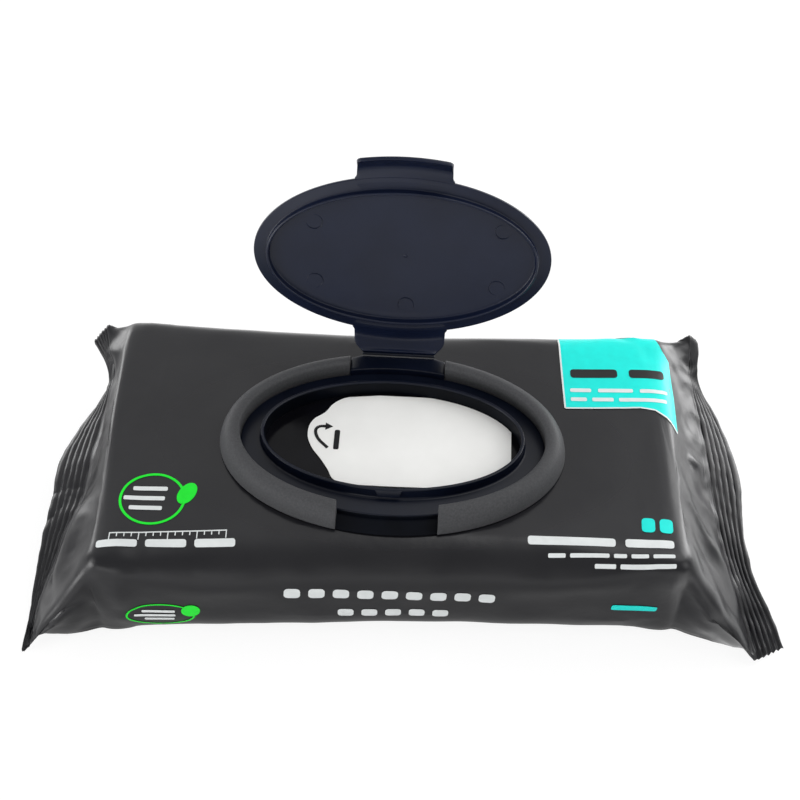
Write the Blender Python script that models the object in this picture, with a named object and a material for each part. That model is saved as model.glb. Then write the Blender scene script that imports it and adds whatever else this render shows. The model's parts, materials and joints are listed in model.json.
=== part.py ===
"""Wet wipes pack: a sealed film pack of folded wipes with a moulded flip lid, shown open.

Metres, +Z up. X runs along the pack, the front is at -Y. The origin is on the flat
underside, below the middle of the oval dispensing opening.
"""
import bpy
import bmesh
from math import asin, cos, pi, radians, sin, sqrt
from mathutils import Matrix, Vector

MM = 0.001

# Film pack round the stack of wipes
STACK_LENGTH = 178 * MM          # a 7 inch wipe, unfolded across the pack's length
PACK_DEPTH = 96.6 * MM
PACK_HEIGHT = 37.7 * MM
PACK_SET_BACK = 2.6 * MM         # the pack's middle lies this far behind the oval's middle
PACK_TURN = radians(2.2)         # the lid was stuck on slightly askew
FRONT_SLOPE = 0.024              # the pack is shallower at its right end, by its front face
BACK_SLOPE = 0.024               # and deeper at its left end, by its back face
TOP_FRONT_RADIUS = 13 * MM
TOP_BACK_RADIUS = 8 * MM
BOTTOM_RADIUS = 10 * MM
SIDE_SPLIT = 0.42                # height of the side folds, as a share of the pack's height
END_RADIUS = 4 * MM              # at the ends the film lies tighter round its corners
END_SPLIT = 0.74                 # and its side folds start high up
HALF_LOOP = 30                   # film segments from one side fold to the other
WALL_STEPS = 3                   # of them, from a side fold down to the underside
STACK_EDGE = 4 * MM              # how far the ends of the stack round over
LAP_OFFSET = 6 * MM              # the lengthwise lap seal's edge, behind the middle
LAP_WIDTH = 0.9 * MM
LAP_DEPTH = 0.5 * MM

# Crimped end seals
SEAL_FILM = 0.9 * MM
RIDGES = 6
RIDGE_RISE = 0.45 * MM
BACK_TIP = 1.0 * MM              # how far the seals pass the pack's back face
FRONT_TIP = 8.0 * MM             # and its front face
TIP_CROWDING = 0.62              # film gathers towards both tips of a seal, 0 for evenly
EAR_FULLNESS = 2.5 * MM          # loose film bulges forwards at the two front corners
UNDER_HANG = 2.5                 # the lower film stays low, then climbs to the seal
END_SAG = 1.2 * MM               # the upper film hangs in between stack and seal

# Lid base, stuck to the film: d is the distance outwards from the oval opening
SEAT_GAP = 0.3 * MM
OPENING_X = 39.9 * MM
OPENING_Y = 20.9 * MM
WALL = 1.1 * MM
WALL_HEIGHT = 5.6 * MM
FLOOR = 1.6 * MM                 # the plate's thickness, which is the channel's floor
CHANNEL = 6.4 * MM               # width of the channel between wall and rim
RIM_WIDTH = 6.5 * MM
RIM_HEIGHT = 7.0 * MM
RIM_SKIN = 1.2 * MM
NOTCH_WIDTH = 30.6 * MM
OVAL_STEPS = 72
NIB_WIDTH = 8.1 * MM
NIB_REACH = 0.5 * MM
NIB_DROP = 2.0 * MM              # height of the catch nib
NIB_NARROW = 0.78                # width of its foot, as a share of its top

# Hinge and lid
HINGE_Z = 3.2 * MM               # above the film, at the rim's back edge
HINGE_WIDTH = 23.4 * MM
HINGE_GAP = 0.3 * MM
OPEN_ANGLE = radians(104.5)
LID_GAP = 0.6 * MM               # between the lid's edge and the rim
LID_SKIN = 1.2 * MM
LID_FLANGE = 5.6 * MM            # height of the flange's underside when shut
LID_CROWN = 7.8 * MM             # height of the lid's middle when shut
SEAL_RIB = 0.9 * MM
RIB_REACH = 2.4 * MM             # how far the sealing rib hangs below the flange
RIB_GAP = 0.8 * MM               # between the opening's wall and the rib, clear of the nib
FIT_GAP = 0.3 * MM
TAB_GAP = 0.6 * MM               # each side of the tab in its notch
TAB_REACH = 1.3 * MM             # how far its end passes the rim
TAB_FOOT = 2.8 * MM              # height of the tab's end when shut

# Peel label
LABEL_THICKNESS = 0.3 * MM
LABEL_OUTLINE = (                # left side of the outline, from its back end to its front end
    (-15.0, 18.4), (-19.4, 15.6), (-22.0, 11.6), (-25.6, 8.2), (-26.8, 3.2), (-25.4, -2.0),
    (-21.8, -7.2), (-19.3, -11.2), (-17.3, -14.8), (-13.0, -16.2), (-9.0, -16.5),
)
LABEL_RIGHT = 37.1 * MM
LABEL_FRONT = -15.6 * MM
LABEL_BACK = 19.2 * MM

# Values that follow from the ones above
BASE_Z = PACK_HEIGHT + SEAT_GAP
BACK_FACE = PACK_SET_BACK + PACK_DEPTH / 2
FRONT_FACE = PACK_SET_BACK - PACK_DEPTH / 2
RIM_INSIDE = WALL + CHANNEL
RIM_OUTSIDE = RIM_INSIDE + RIM_WIDTH
LID_EDGE = RIM_INSIDE - LID_GAP
HINGE_Y = OPENING_Y + RIM_OUTSIDE + 0.2 * MM

# Seal lines at nine even steps from the back tip to the front tip: how far out from the
# stack's end (mm) and how high (share of the pack's height) the crimp starts and ends, and
# how far back its free edge is drawn (mm). The ends droop, flare and wave as loose film does.
RIGHT_SEAL = {
    "start_out": (9.5, 8.9, 10.2, 11.4, 12.6, 14.5, 17.0, 20.6, 23.8),
    "start_up": (0.93, 0.75, 0.66, 0.57, 0.50, 0.40, 0.29, 0.17, 0.070),
    "edge_out": (12.6, 12.8, 20.4, 24.2, 24.8, 24.2, 25.8, 31.2, 34.0),
    "edge_up": (0.84, 0.66, 0.45, 0.37, 0.32, 0.29, 0.23, 0.11, 0.035),
    "edge_back": (0.0, 0.0, 0.0, 0.0, 0.0, 0.0, 0.0, 1.0, 5.5),
}
LEFT_SEAL = {
    "start_out": (6.8, 3.8, 3.8, 4.6, 6.0, 7.8, 12.6, 17.6, 21.0),
    "start_up": (0.90, 0.79, 0.71, 0.66, 0.62, 0.55, 0.38, 0.24, 0.070),
    "edge_out": (12.8, 6.2, 13.0, 18.8, 20.0, 21.0, 22.0, 22.4, 23.2),
    "edge_up": (0.70, 0.55, 0.42, 0.37, 0.36, 0.32, 0.22, 0.12, 0.035),
    "edge_back": (-0.5, 0.0, 0.0, 0.0, 0.0, 0.0, 0.0, 0.0, -1.5),
}

parts = None
cutters = None


def start_clean():
    """Empty the file and make one collection for the parts and one for the cutters."""
    global parts, cutters
    for item in list(bpy.data.objects):
        bpy.data.objects.remove(item, do_unlink=True)
    parts = bpy.data.collections.new("wet_wipes_pack")
    cutters = bpy.data.collections.new("cutters")
    bpy.context.scene.collection.children.link(parts)
    bpy.context.scene.collection.children.link(cutters)


def add_mesh(name, bm, collection):
    """Turn a bmesh into an object with its faces pointing out."""
    bmesh.ops.recalc_face_normals(bm, faces=bm.faces)
    mesh = bpy.data.meshes.new(name)
    bm.to_mesh(mesh)
    bm.free()
    item = bpy.data.objects.new(name, mesh)
    collection.objects.link(item)
    return item


def add_cutter(name, bm):
    item = add_mesh(name, bm, cutters)
    item.hide_render = True
    item.display_type = "WIRE"
    return item


def combine(item, other, operation):
    """Add or cut with an exact Boolean, and keep the result as the object's mesh."""
    step = item.modifiers.new(operation.lower(), "BOOLEAN")
    step.operation = operation
    step.solver = "EXACT"
    step.object = other
    bpy.context.view_layer.update()
    depsgraph = bpy.context.evaluated_depsgraph_get()
    mesh = bpy.data.meshes.new_from_object(item.evaluated_get(depsgraph))
    item.modifiers.clear()
    item.data = mesh
    if operation == "UNION":
        bpy.data.objects.remove(other, do_unlink=True)


def loft(sections, closed_path):
    """Skin a run of sections that have equal numbers of points."""
    bm = bmesh.new()
    rows = [[bm.verts.new(point) for point in section] for section in sections]
    last = len(rows) if closed_path else len(rows) - 1
    for index in range(last):
        this_row, next_row = rows[index], rows[(index + 1) % len(rows)]
        for j in range(len(this_row)):
            k = (j + 1) % len(this_row)
            bm.faces.new((this_row[j], this_row[k], next_row[k], next_row[j]))
    if not closed_path:
        bm.faces.new(rows[0])
        bm.faces.new(rows[-1])
    return bm


def finish(item, colour, roughness, angle=35):
    """Give a part its own plastic and smooth shading with crisp edges."""
    material = bpy.data.materials.new(item.name)
    material.use_nodes = True
    shader = material.node_tree.nodes["Principled BSDF"]
    shader.inputs["Base Color"].default_value = (*colour, 1.0)
    shader.inputs["Roughness"].default_value = roughness
    shader.inputs["Metallic"].default_value = 0.0
    item.data.materials.clear()
    item.data.materials.append(material)
    item.data.shade_smooth()
    item.data.set_sharp_from_angle(angle=radians(angle))


# Film pack

def smooth_value(values, share):
    """Read a run of evenly spaced values as one smooth curve."""
    place = share * (len(values) - 1)
    index = min(int(place), len(values) - 2)
    t = place - index
    a, b = values[index], values[index + 1]
    before = values[index - 1] if index > 0 else 2 * a - b
    after = values[index + 2] if index + 2 < len(values) else 2 * b - a
    return 0.5 * (2 * a + (b - before) * t + (2 * before - 5 * a + 4 * b - after) * t * t
                  + (3 * a - before - 3 * b + after) * t ** 3)


def corner(centre_y, centre_z, radius, start, steps=6):
    """Points round a quarter turn, from the start angle towards the next side."""
    return [(centre_y + radius * cos(start + pi / 2 * i / steps),
             centre_z + radius * sin(start + pi / 2 * i / steps)) for i in range(steps + 1)]


def even_points(path, count):
    """Walk along a polyline in equal steps."""
    lengths = [0.0]
    for a, b in zip(path, path[1:]):
        lengths.append(lengths[-1] + sqrt((b[0] - a[0]) ** 2 + (b[1] - a[1]) ** 2))
    points = []
    leg = 0
    for i in range(count + 1):
        goal = lengths[-1] * i / count
        while leg < len(path) - 2 and lengths[leg + 1] < goal:
            leg += 1
        t = (goal - lengths[leg]) / (lengths[leg + 1] - lengths[leg])
        t = min(max(t, 0.0), 1.0)
        points.append((path[leg][0] + (path[leg + 1][0] - path[leg][0]) * t,
                       path[leg][1] + (path[leg + 1][1] - path[leg][1]) * t))
    return points


def body_section(x, inset=0.0, end=0.0):
    """The rounded oblong of film round the stack, over the top and back underneath.

    end goes from 0 in the middle of the pack to 1 at its ends. inset lowers the top, and
    draws the front in by half as much.
    """
    back = BACK_FACE + BACK_SLOPE * max(0.0, -x)
    front = FRONT_FACE + FRONT_SLOPE * x + inset / 2
    top, bottom = PACK_HEIGHT - inset, inset / 8
    split = PACK_HEIGHT * (SIDE_SPLIT + (END_SPLIT - SIDE_SPLIT) * end)
    at_back = TOP_BACK_RADIUS + (END_RADIUS - TOP_BACK_RADIUS) * end
    at_front = TOP_FRONT_RADIUS + (END_RADIUS - TOP_FRONT_RADIUS) * end
    below = BOTTOM_RADIUS + (END_RADIUS - BOTTOM_RADIUS) * end
    over = [(back, split)]
    over += corner(back - at_back, top - at_back, at_back, 0)
    over += corner(front + at_front, top - at_front, at_front, pi / 2)
    over += [(front, split)]
    front_turn = corner(front + below, bottom + below, below, pi)
    back_turn = corner(back - below, bottom + below, below, 3 * pi / 2)
    half = len(front_turn) // 2
    loop = even_points(over, HALF_LOOP)
    loop += even_points([(front, split)] + front_turn[:half + 1], WALL_STEPS)[1:]
    loop += even_points(front_turn[half:] + back_turn[:half + 1],
                        HALF_LOOP - 2 * WALL_STEPS)[1:]
    loop += even_points(back_turn[half:] + [(back, split)], WALL_STEPS)[1:-1]
    return [Vector((x, y, z)) for y, z in loop]


def seal_section(side, seal, across, lift):
    """One line of the crimped seal: both films lie together, a film's thickness apart."""
    back_tip, front_tip = BACK_FACE + BACK_TIP, FRONT_FACE - FRONT_TIP
    line = []
    for i in range(HALF_LOOP + 1):
        share = i / HALF_LOOP
        share -= TIP_CROWDING * sin(2 * pi * share) / (2 * pi)
        start_out = smooth_value(seal["start_out"], share) * MM
        edge_out = smooth_value(seal["edge_out"], share) * MM
        start_up = smooth_value(seal["start_up"], share) * PACK_HEIGHT
        edge_up = smooth_value(seal["edge_up"], share) * PACK_HEIGHT
        back = smooth_value(seal["edge_back"], share) * MM * across
        out = start_out + (edge_out - start_out) * across
        up = start_up + (edge_up - start_up) * across
        run = Vector((edge_out - start_out, edge_up - start_up))
        run.normalize()
        normal = Vector((-side * run.y, 0, run.x))
        point = Vector((side * (STACK_LENGTH / 2 + out),
                        back_tip + (front_tip - back_tip) * share + back, up))
        line.append((point, normal))
    over = [point + normal * (lift + SEAL_FILM / 2) for point, normal in line]
    under = [point + normal * (lift - SEAL_FILM / 2) for point, normal in reversed(line)]
    section = over + under[1:-1]
    for tip in (0, HALF_LOOP):
        section[tip] = section[tip] - line[tip][1] * SEAL_FILM / 2
    return section


def end_sections(side, seal):
    """From the end of the stack down to the seal, then across its ridges."""
    stack_end = STACK_LENGTH / 2
    sections = [body_section(side * (stack_end - STACK_EDGE), 0.0, 1.0),
                body_section(side * (stack_end - STACK_EDGE / 3), STACK_EDGE * 0.12, 1.0),
                body_section(side * stack_end, STACK_EDGE * 0.4, 1.0)]
    rim = sections[-1]
    start = seal_section(side, seal, 0.0, 0.0)
    count = len(rim)
    for share in (0.3, 0.6, 0.85):
        section = []
        bow = sin(pi * share)
        for i, (a, b) in enumerate(zip(rim, start)):
            point = a.lerp(b, share)
            from_back = min(i, count - i) / HALF_LOOP
            from_front = abs(i - HALF_LOOP) / HALF_LOOP
            if i < HALF_LOOP:
                point.z -= END_SAG * bow * sin(pi * from_back) ** 2
            elif i > HALF_LOOP:
                point.z = a.z + (b.z - a.z) * share ** UNDER_HANG
                point.y -= EAR_FULLNESS * bow * max(0.0, 1 - 4 * from_front)
            section.append(point)
        sections.append(section)
    sections.append(start)
    for step in range(1, 2 * RIDGES + 1):
        lift = RIDGE_RISE if step % 2 else -RIDGE_RISE
        if step == 2 * RIDGES:
            lift = 0.0
        sections.append(seal_section(side, seal, step / (2 * RIDGES), lift))
    return sections


def cap_seal(bm, row):
    """Close the free edge of a seal between its two films."""
    count = len(row)
    for i in range(HALF_LOOP):
        corners = [row[i], row[i + 1], row[(count - i - 1) % count], row[(count - i) % count]]
        bm.faces.new(list(dict.fromkeys(corners)))


def film_pack():
    """Loft the film from the left seal, round the stack, to the right seal."""
    left = end_sections(-1, LEFT_SEAL)
    right = end_sections(1, RIGHT_SEAL)
    reach = STACK_LENGTH / 2 - STACK_EDGE
    middle = [body_section(reach * share, end=abs(share) ** 3)
              for share in (-0.85, -0.55, -0.2, 0.2, 0.55, 0.85)]
    sections = left[::-1] + middle + right
    turn = Matrix.Rotation(PACK_TURN, 4, "Z")
    bm = bmesh.new()
    rows = [[bm.verts.new(turn @ point) for point in section] for section in sections]
    for this_row, next_row in zip(rows, rows[1:]):
        for j in range(len(this_row)):
            k = (j + 1) % len(this_row)
            bm.faces.new((this_row[j], this_row[k], next_row[k], next_row[j]))
    cap_seal(bm, rows[0])
    cap_seal(bm, rows[-1])
    pack = add_mesh("film_pack", bm, parts)
    lap = bmesh.new()
    bmesh.ops.create_cube(lap, size=1.0)
    bmesh.ops.scale(lap, vec=(2 * reach, LAP_WIDTH, 2 * LAP_DEPTH), verts=lap.verts)
    bmesh.ops.translate(lap, vec=(0, PACK_SET_BACK + LAP_OFFSET, 0), verts=lap.verts)
    bmesh.ops.transform(lap, matrix=turn, verts=lap.verts)
    combine(pack, add_cutter("lap_seal_groove", lap), "DIFFERENCE")
    finish(pack, (0.045, 0.045, 0.048), 0.45, 28)


# Oval pieces

def oval_ring(outwards, height, steps=OVAL_STEPS):
    """One ring of points at a distance outwards from the oval opening."""
    half_x, half_y = OPENING_X + outwards, OPENING_Y + outwards
    return [Vector((half_x * cos(2 * pi * i / steps), half_y * sin(2 * pi * i / steps),
                    BASE_Z + height)) for i in range(steps)]


def oval_y(outwards, x):
    """How far from the middle an oval ring lies at a given x."""
    half_x, half_y = OPENING_X + outwards, OPENING_Y + outwards
    return half_y * sqrt(max(0.0, 1 - (x / half_x) ** 2))


def rim_patch(section, side, half_width, columns=8):
    """A short stretch of the rim's curve, between two flat ends at -X and +X.

    Each point of the section is (outwards, height, straight, width): straight 0 follows
    the oval, 1 runs straight across, and width narrows the patch there.
    """
    slices = []
    for column in range(columns + 1):
        share = 2 * column / columns - 1
        points = []
        for outwards, height, straight, width in section:
            x = share * half_width * width
            y = oval_y(outwards, x)
            y += (OPENING_Y + outwards - y) * straight
            points.append(Vector((x, side * y, BASE_Z + height)))
        slices.append(points)
    return loft(slices, closed_path=False)


def follow_oval(points):
    """Section points that stay on the oval at full width."""
    return [(outwards, height, 0.0, 1.0) for outwards, height in points]


def rim_curve(inset):
    """The rim's rounded outside, from its inner edge to its foot, inset by a skin."""
    profile = ((0.00, 0.88), (0.06, 0.96), (0.18, 1.00), (0.36, 0.985), (0.54, 0.915),
               (0.70, 0.79), (0.83, 0.61), (0.93, 0.37), (0.98, 0.16), (1.00, 0.00))
    points = []
    for across, up in profile:
        lean = across ** 2
        points.append((RIM_INSIDE + RIM_WIDTH * across - inset * lean,
                       RIM_HEIGHT * up - inset * (1 - lean)))
    return points


def hollow_arc(name, side):
    """The underside groove that leaves the rim a skin of even thickness."""
    curve = rim_curve(RIM_SKIN)[1:]
    inner = RIM_INSIDE + RIM_SKIN
    section = [(inner, -FLOOR), (inner, curve[0][1])]
    section += [point for point in curve[1:-1]]
    section += [(curve[-1][0], -FLOOR)]
    stop = NOTCH_WIDTH / 2 + 2 * RIM_SKIN
    reach = pi / 2 - asin(stop / (OPENING_X + inner))
    steps = OVAL_STEPS // 3
    slices = []
    for i in range(steps + 1):
        angle = reach * (2 * i / steps - 1)
        slices.append([Vector((side * (OPENING_X + outwards) * cos(angle),
                               (OPENING_Y + outwards) * sin(angle), BASE_Z + height))
                       for outwards, height in section])
    return add_cutter(name, loft(slices, closed_path=False))


def ring_loft(profile):
    """A closed oval ring from a closed section."""
    return loft([oval_ring(outwards, height) for outwards, height in profile],
                closed_path=True)


def lid_base():
    """The moulded base: opening wall, channel, hollow rim, front notch and hinge panel."""
    lip = 0.25 * MM
    profile = [(0.0, 0.0), (0.0, WALL_HEIGHT - lip), (lip, WALL_HEIGHT),
               (WALL - lip, WALL_HEIGHT), (WALL, WALL_HEIGHT - lip), (WALL, FLOOR),
               (RIM_INSIDE, FLOOR)] + rim_curve(0.0)
    base = add_mesh("lid_base", ring_loft(profile), parts)
    combine(base, hollow_arc("rim_hollow_right", 1), "DIFFERENCE")
    combine(base, hollow_arc("rim_hollow_left", -1), "DIFFERENCE")

    land = HINGE_Y - OPENING_Y - HINGE_GAP * 2 / 3
    top = HINGE_Z - HINGE_GAP
    inside = RIM_INSIDE + RIM_SKIN
    foot = FLOOR / 3
    bar = [(inside, foot, 0.0, 1.0), (inside, top, 0.0, 1.0),
           (land - 1.5 * MM, top, 1.0, 1.0), (land, top, 1.0, 1.0),
           (land, top - RIM_SKIN, 1.0, 1.0), (land - 1.0 * MM, foot, 1.0, 1.0)]
    combine(base, add_mesh("hinge_bar", rim_patch(bar, 1, HINGE_WIDTH / 2), parts), "UNION")

    beyond = RIM_OUTSIDE + 3 * MM
    above = RIM_HEIGHT + 2 * MM
    front = follow_oval([(RIM_INSIDE - FIT_GAP, -FLOOR), (beyond, -FLOOR),
                         (beyond, above), (RIM_INSIDE - FIT_GAP, above)])
    combine(base, add_cutter("front_notch", rim_patch(front, -1, NOTCH_WIDTH / 2)),
            "DIFFERENCE")
    panel = HINGE_Z + 0.6 * MM
    back = follow_oval([(RIM_INSIDE - FIT_GAP, panel), (RIM_INSIDE + 1.5 * MM, panel),
                        (RIM_OUTSIDE - 1.0 * MM, top + FIT_GAP / 10),
                        (beyond, top + FIT_GAP / 10), (beyond, above),
                        (RIM_INSIDE - FIT_GAP, above)])
    combine(base, add_cutter("back_notch", rim_patch(back, 1, NOTCH_WIDTH / 2)),
            "DIFFERENCE")

    nib_top = WALL_HEIGHT - lip
    nib_foot = nib_top - NIB_DROP
    nib = [(WALL / 2, nib_top, 0.0, 1.0), (WALL / 2, nib_foot, 0.0, NIB_NARROW),
           (WALL, nib_foot, 0.0, NIB_NARROW), (WALL + NIB_REACH, nib_foot + lip, 0.0, NIB_NARROW),
           (WALL, nib_top, 0.0, 1.0)]
    combine(base, add_mesh("catch_nib", rim_patch(nib, -1, NIB_WIDTH / 2, 4), parts), "UNION")
    finish(base, (0.060, 0.061, 0.064), 0.5)


def lid_plate():
    """The lid's oval: crowned skin, flange and the rib that closes round the wall."""
    rib_in = WALL + RIB_GAP
    rib_out = rib_in + SEAL_RIB
    skin = LID_FLANGE + LID_SKIN
    under = LID_CROWN - LID_SKIN
    rise = LID_CROWN - skin
    edge = 0.35 * MM
    bm = bmesh.new()

    def dome(height, share):
        """A ring part of the way to the middle, on the crown's curve."""
        ring = oval_ring(rib_in, height - rise * share ** 2)
        return [Vector((point.x * share, point.y * share, point.z)) for point in ring]

    sections = [dome(under, 0.35), dome(under, 0.7), oval_ring(rib_in, under - rise * 0.9),
                oval_ring(rib_in, LID_FLANGE - RIB_REACH),
                oval_ring(rib_out, LID_FLANGE - RIB_REACH), oval_ring(rib_out, LID_FLANGE),
                oval_ring(LID_EDGE - edge, LID_FLANGE), oval_ring(LID_EDGE, LID_FLANGE + edge),
                oval_ring(LID_EDGE, skin - edge), oval_ring(LID_EDGE - edge, skin),
                oval_ring(rib_out, skin + rise * 0.1),
                dome(LID_CROWN, 0.8), dome(LID_CROWN, 0.55), dome(LID_CROWN, 0.28)]
    rows = [[bm.verts.new(point) for point in section] for section in sections]
    for this_row, next_row in zip(rows, rows[1:]):
        for j in range(OVAL_STEPS):
            k = (j + 1) % OVAL_STEPS
            bm.faces.new((this_row[j], this_row[k], next_row[k], next_row[j]))
    for row, height in ((rows[0], under), (rows[-1], LID_CROWN)):
        middle = bm.verts.new((0, 0, BASE_Z + height))
        for j in range(OVAL_STEPS):
            bm.faces.new((row[j], row[(j + 1) % OVAL_STEPS], middle))
    return add_mesh("flip_lid", bm, parts)


def flip_lid():
    """The lid with its front tab and its neck, turned open about the hinge."""
    lid = lid_plate()
    inside = LID_EDGE - 2.0 * MM
    skin = LID_FLANGE + LID_SKIN
    ridge = [(RIM_INSIDE + RIM_WIDTH * across, RIM_HEIGHT * up)
             for across, up in ((0.17, 1.0), (0.42, 0.98), (0.64, 0.89), (0.86, 0.72))]
    end = RIM_OUTSIDE + TAB_REACH
    tab = [(inside, skin - 0.1 * MM)] + ridge + [(end, TAB_FOOT), (end - LID_SKIN, TAB_FOOT)]
    tab += [(outwards - LID_SKIN * 0.75, height - LID_SKIN * 0.75)
            for outwards, height in reversed(ridge[1:])]
    tab += [(inside, LID_FLANGE + 0.1 * MM)]
    half_tab = NOTCH_WIDTH / 2 - TAB_GAP
    patch = add_mesh("lid_tab", rim_patch(follow_oval(tab), -1, half_tab), parts)
    combine(lid, patch, "UNION")

    narrow = HINGE_WIDTH / (NOTCH_WIDTH - 2 * TAB_GAP)
    end = HINGE_Y - OPENING_Y - HINGE_GAP / 2
    low = HINGE_Z + HINGE_GAP
    crest = RIM_INSIDE + RIM_WIDTH * 0.4
    neck = follow_oval([(inside, skin - 0.1 * MM)] + ridge[:3])
    neck += [(end - 1.0 * MM, low + 1.8 * MM, 0.8, 1.0), (end, low + 0.8 * MM, 1.0, narrow),
             (end, low, 1.0, narrow), (end - 1.2 * MM, low + 0.5 * MM, 0.8, 1.0)]
    neck += follow_oval([(crest + 0.9 * MM, RIM_HEIGHT - 2.0 * MM),
                         (crest - 0.3 * MM, RIM_HEIGHT - LID_SKIN),
                         (inside, LID_FLANGE + 0.1 * MM)])
    patch = add_mesh("lid_neck", rim_patch(neck, 1, half_tab), parts)
    combine(lid, patch, "UNION")

    hinge = Vector((0, HINGE_Y, BASE_Z + HINGE_Z))
    lid.data.transform(Matrix.Translation(-hinge))
    lid.location = hinge
    lid.rotation_euler.x = -OPEN_ANGLE
    finish(lid, (0.022, 0.025, 0.034), 0.4)


def peel_label():
    """The peel-back label on the film, seen inside the oval opening."""
    curve = bpy.data.curves.new("peel_label", "CURVE")
    curve.dimensions = "2D"
    curve.fill_mode = "BOTH"
    curve.extrude = LABEL_THICKNESS / 2
    curve.resolution_u = 4
    beyond = OPENING_X
    outline = [((beyond, LABEL_BACK), "VECTOR")]
    outline += [((x * MM, y * MM), "AUTO") for x, y in LABEL_OUTLINE]
    outline += [((beyond, LABEL_FRONT), "VECTOR")]
    spline = curve.splines.new("BEZIER")
    spline.use_cyclic_u = True
    spline.bezier_points.add(len(outline) - 1)
    for point, (place, handle) in zip(spline.bezier_points, outline):
        point.co = (*place, 0)
        point.handle_left_type = point.handle_right_type = handle
    flat = bpy.data.objects.new("label_outline", curve)
    bpy.context.scene.collection.objects.link(flat)
    bpy.context.view_layer.update()
    depsgraph = bpy.context.evaluated_depsgraph_get()
    mesh = bpy.data.meshes.new_from_object(flat.evaluated_get(depsgraph))
    bpy.data.objects.remove(flat, do_unlink=True)
    bm = bmesh.new()
    bm.from_mesh(mesh)
    bmesh.ops.remove_doubles(bm, verts=bm.verts, dist=0.01 * MM)
    bmesh.ops.translate(bm, vec=(0, 0, BASE_Z + LABEL_THICKNESS / 2), verts=bm.verts)
    label = add_mesh("peel_label", bm, parts)

    inside = loft([oval_ring(-FIT_GAP, -FLOOR), oval_ring(-FIT_GAP, FLOOR)], False)
    combine(label, add_cutter("opening_outline", inside), "INTERSECT")
    right = bmesh.new()
    bmesh.ops.create_cube(right, size=OPENING_X)
    bmesh.ops.translate(right, vec=(LABEL_RIGHT + OPENING_X / 2, 0, BASE_Z), verts=right.verts)
    combine(label, add_cutter("label_right_edge", right), "DIFFERENCE")
    finish(label, (0.72, 0.72, 0.70), 0.5)


def build():
    start_clean()
    film_pack()
    lid_base()
    flip_lid()
    peel_label()


build()
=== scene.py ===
# %% [markdown]
# # A pack of wet wipes with its lid open
#
# The real pack is a tube of dark printed film, crimped at both ends, with an oval plastic
# frame stuck on top. The frame's lid swings up on a thin web of plastic. Such a pack could
# be modelled freely by eye, but then nothing would seat or turn as it should. So the packed
# model is loaded first, and everything here is built around its sizes, in metres.

# %% Load the frame
import json
from math import cos, pi, radians, sin, sqrt, tan

import bpy
import bmesh
import numpy as np
from mathutils import Matrix, Vector, bvhtree, noise


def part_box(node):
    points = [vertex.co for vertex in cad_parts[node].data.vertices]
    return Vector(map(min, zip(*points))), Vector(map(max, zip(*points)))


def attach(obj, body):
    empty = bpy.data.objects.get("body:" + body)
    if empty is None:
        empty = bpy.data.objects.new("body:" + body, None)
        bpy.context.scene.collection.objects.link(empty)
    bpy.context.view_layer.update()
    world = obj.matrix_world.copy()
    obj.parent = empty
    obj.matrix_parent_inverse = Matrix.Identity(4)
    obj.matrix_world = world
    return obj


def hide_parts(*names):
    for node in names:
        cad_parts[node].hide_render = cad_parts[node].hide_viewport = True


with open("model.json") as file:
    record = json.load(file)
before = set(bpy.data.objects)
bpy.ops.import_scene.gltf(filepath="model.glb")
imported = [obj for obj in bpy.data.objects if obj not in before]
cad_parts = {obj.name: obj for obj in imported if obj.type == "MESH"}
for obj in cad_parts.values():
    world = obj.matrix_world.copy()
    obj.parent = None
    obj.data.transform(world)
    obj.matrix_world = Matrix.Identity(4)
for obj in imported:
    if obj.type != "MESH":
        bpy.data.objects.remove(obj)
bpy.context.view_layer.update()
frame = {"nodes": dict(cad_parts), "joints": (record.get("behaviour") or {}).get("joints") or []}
MM = 0.001
base_low, base_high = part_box("lid_base")
BASE_Z = base_low.z
lid_joint = frame["joints"][0]
hinge = Vector(lid_joint["pos_m"])
OPEN_ANGLE = -radians(lid_joint["range_deg"][0])

# %% [markdown]
# Blender's operators act on all that is selected. A mesh could also be written as a bare
# list of points, but with operators each step can be tried by hand. So each step first
# selects only what it works on, and these helpers do that.


# %% Selecting, applying and joining
def select_only(*pieces):
    """Select these pieces alone and make the last one active."""
    bpy.ops.object.select_all(action="DESELECT")
    for piece in pieces:
        piece.select_set(True)
    bpy.context.view_layer.objects.active = pieces[-1]


def apply_all(piece):
    """Apply every modifier on a piece, in order."""
    select_only(piece)
    for modifier in list(piece.modifiers):
        bpy.ops.object.modifier_apply(modifier=modifier.name)


def settle(piece):
    """Move a piece's place, turn and size into its mesh."""
    select_only(piece)
    bpy.ops.object.transform_apply(location=True, rotation=True, scale=True)


def join(name, pieces):
    """Join pieces into one named piece."""
    select_only(*pieces)
    if len(pieces) > 1:
        bpy.ops.object.join()
    piece = bpy.context.view_layer.objects.active
    piece.name = name
    piece.data.name = name
    return piece


print("packed nodes:", list(frame["nodes"]))

# %% [markdown]
# Joined parts keep double points, and their faces may point inwards. Sharp edges look wrong
# too, because moulded plastic is always a little round. Each could be put right by hand in
# edit mode, but it comes up so often that a helper is shorter.


# %% Cleaning, rounding and finishing
MERGE = 0.005 * MM
print("points closer than", MERGE, "m are merged")


def face_outwards(piece):
    """Merge doubles, then turn every face outwards."""
    select_only(piece)
    bpy.ops.object.mode_set(mode="EDIT")
    bpy.ops.mesh.select_all(action="SELECT")
    bpy.ops.mesh.remove_doubles(threshold=MERGE)
    bpy.ops.mesh.normals_make_consistent(inside=False)
    bpy.ops.object.mode_set(mode="OBJECT")


def round_edges(piece, width, segments, angle):
    """Round the sharp edges with a Bevel modifier and apply it."""
    bevel = piece.modifiers.new("rounding", "BEVEL")
    bevel.width = width
    bevel.segments = segments
    bevel.limit_method = "ANGLE"
    bevel.angle_limit = radians(angle)
    apply_all(piece)


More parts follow.
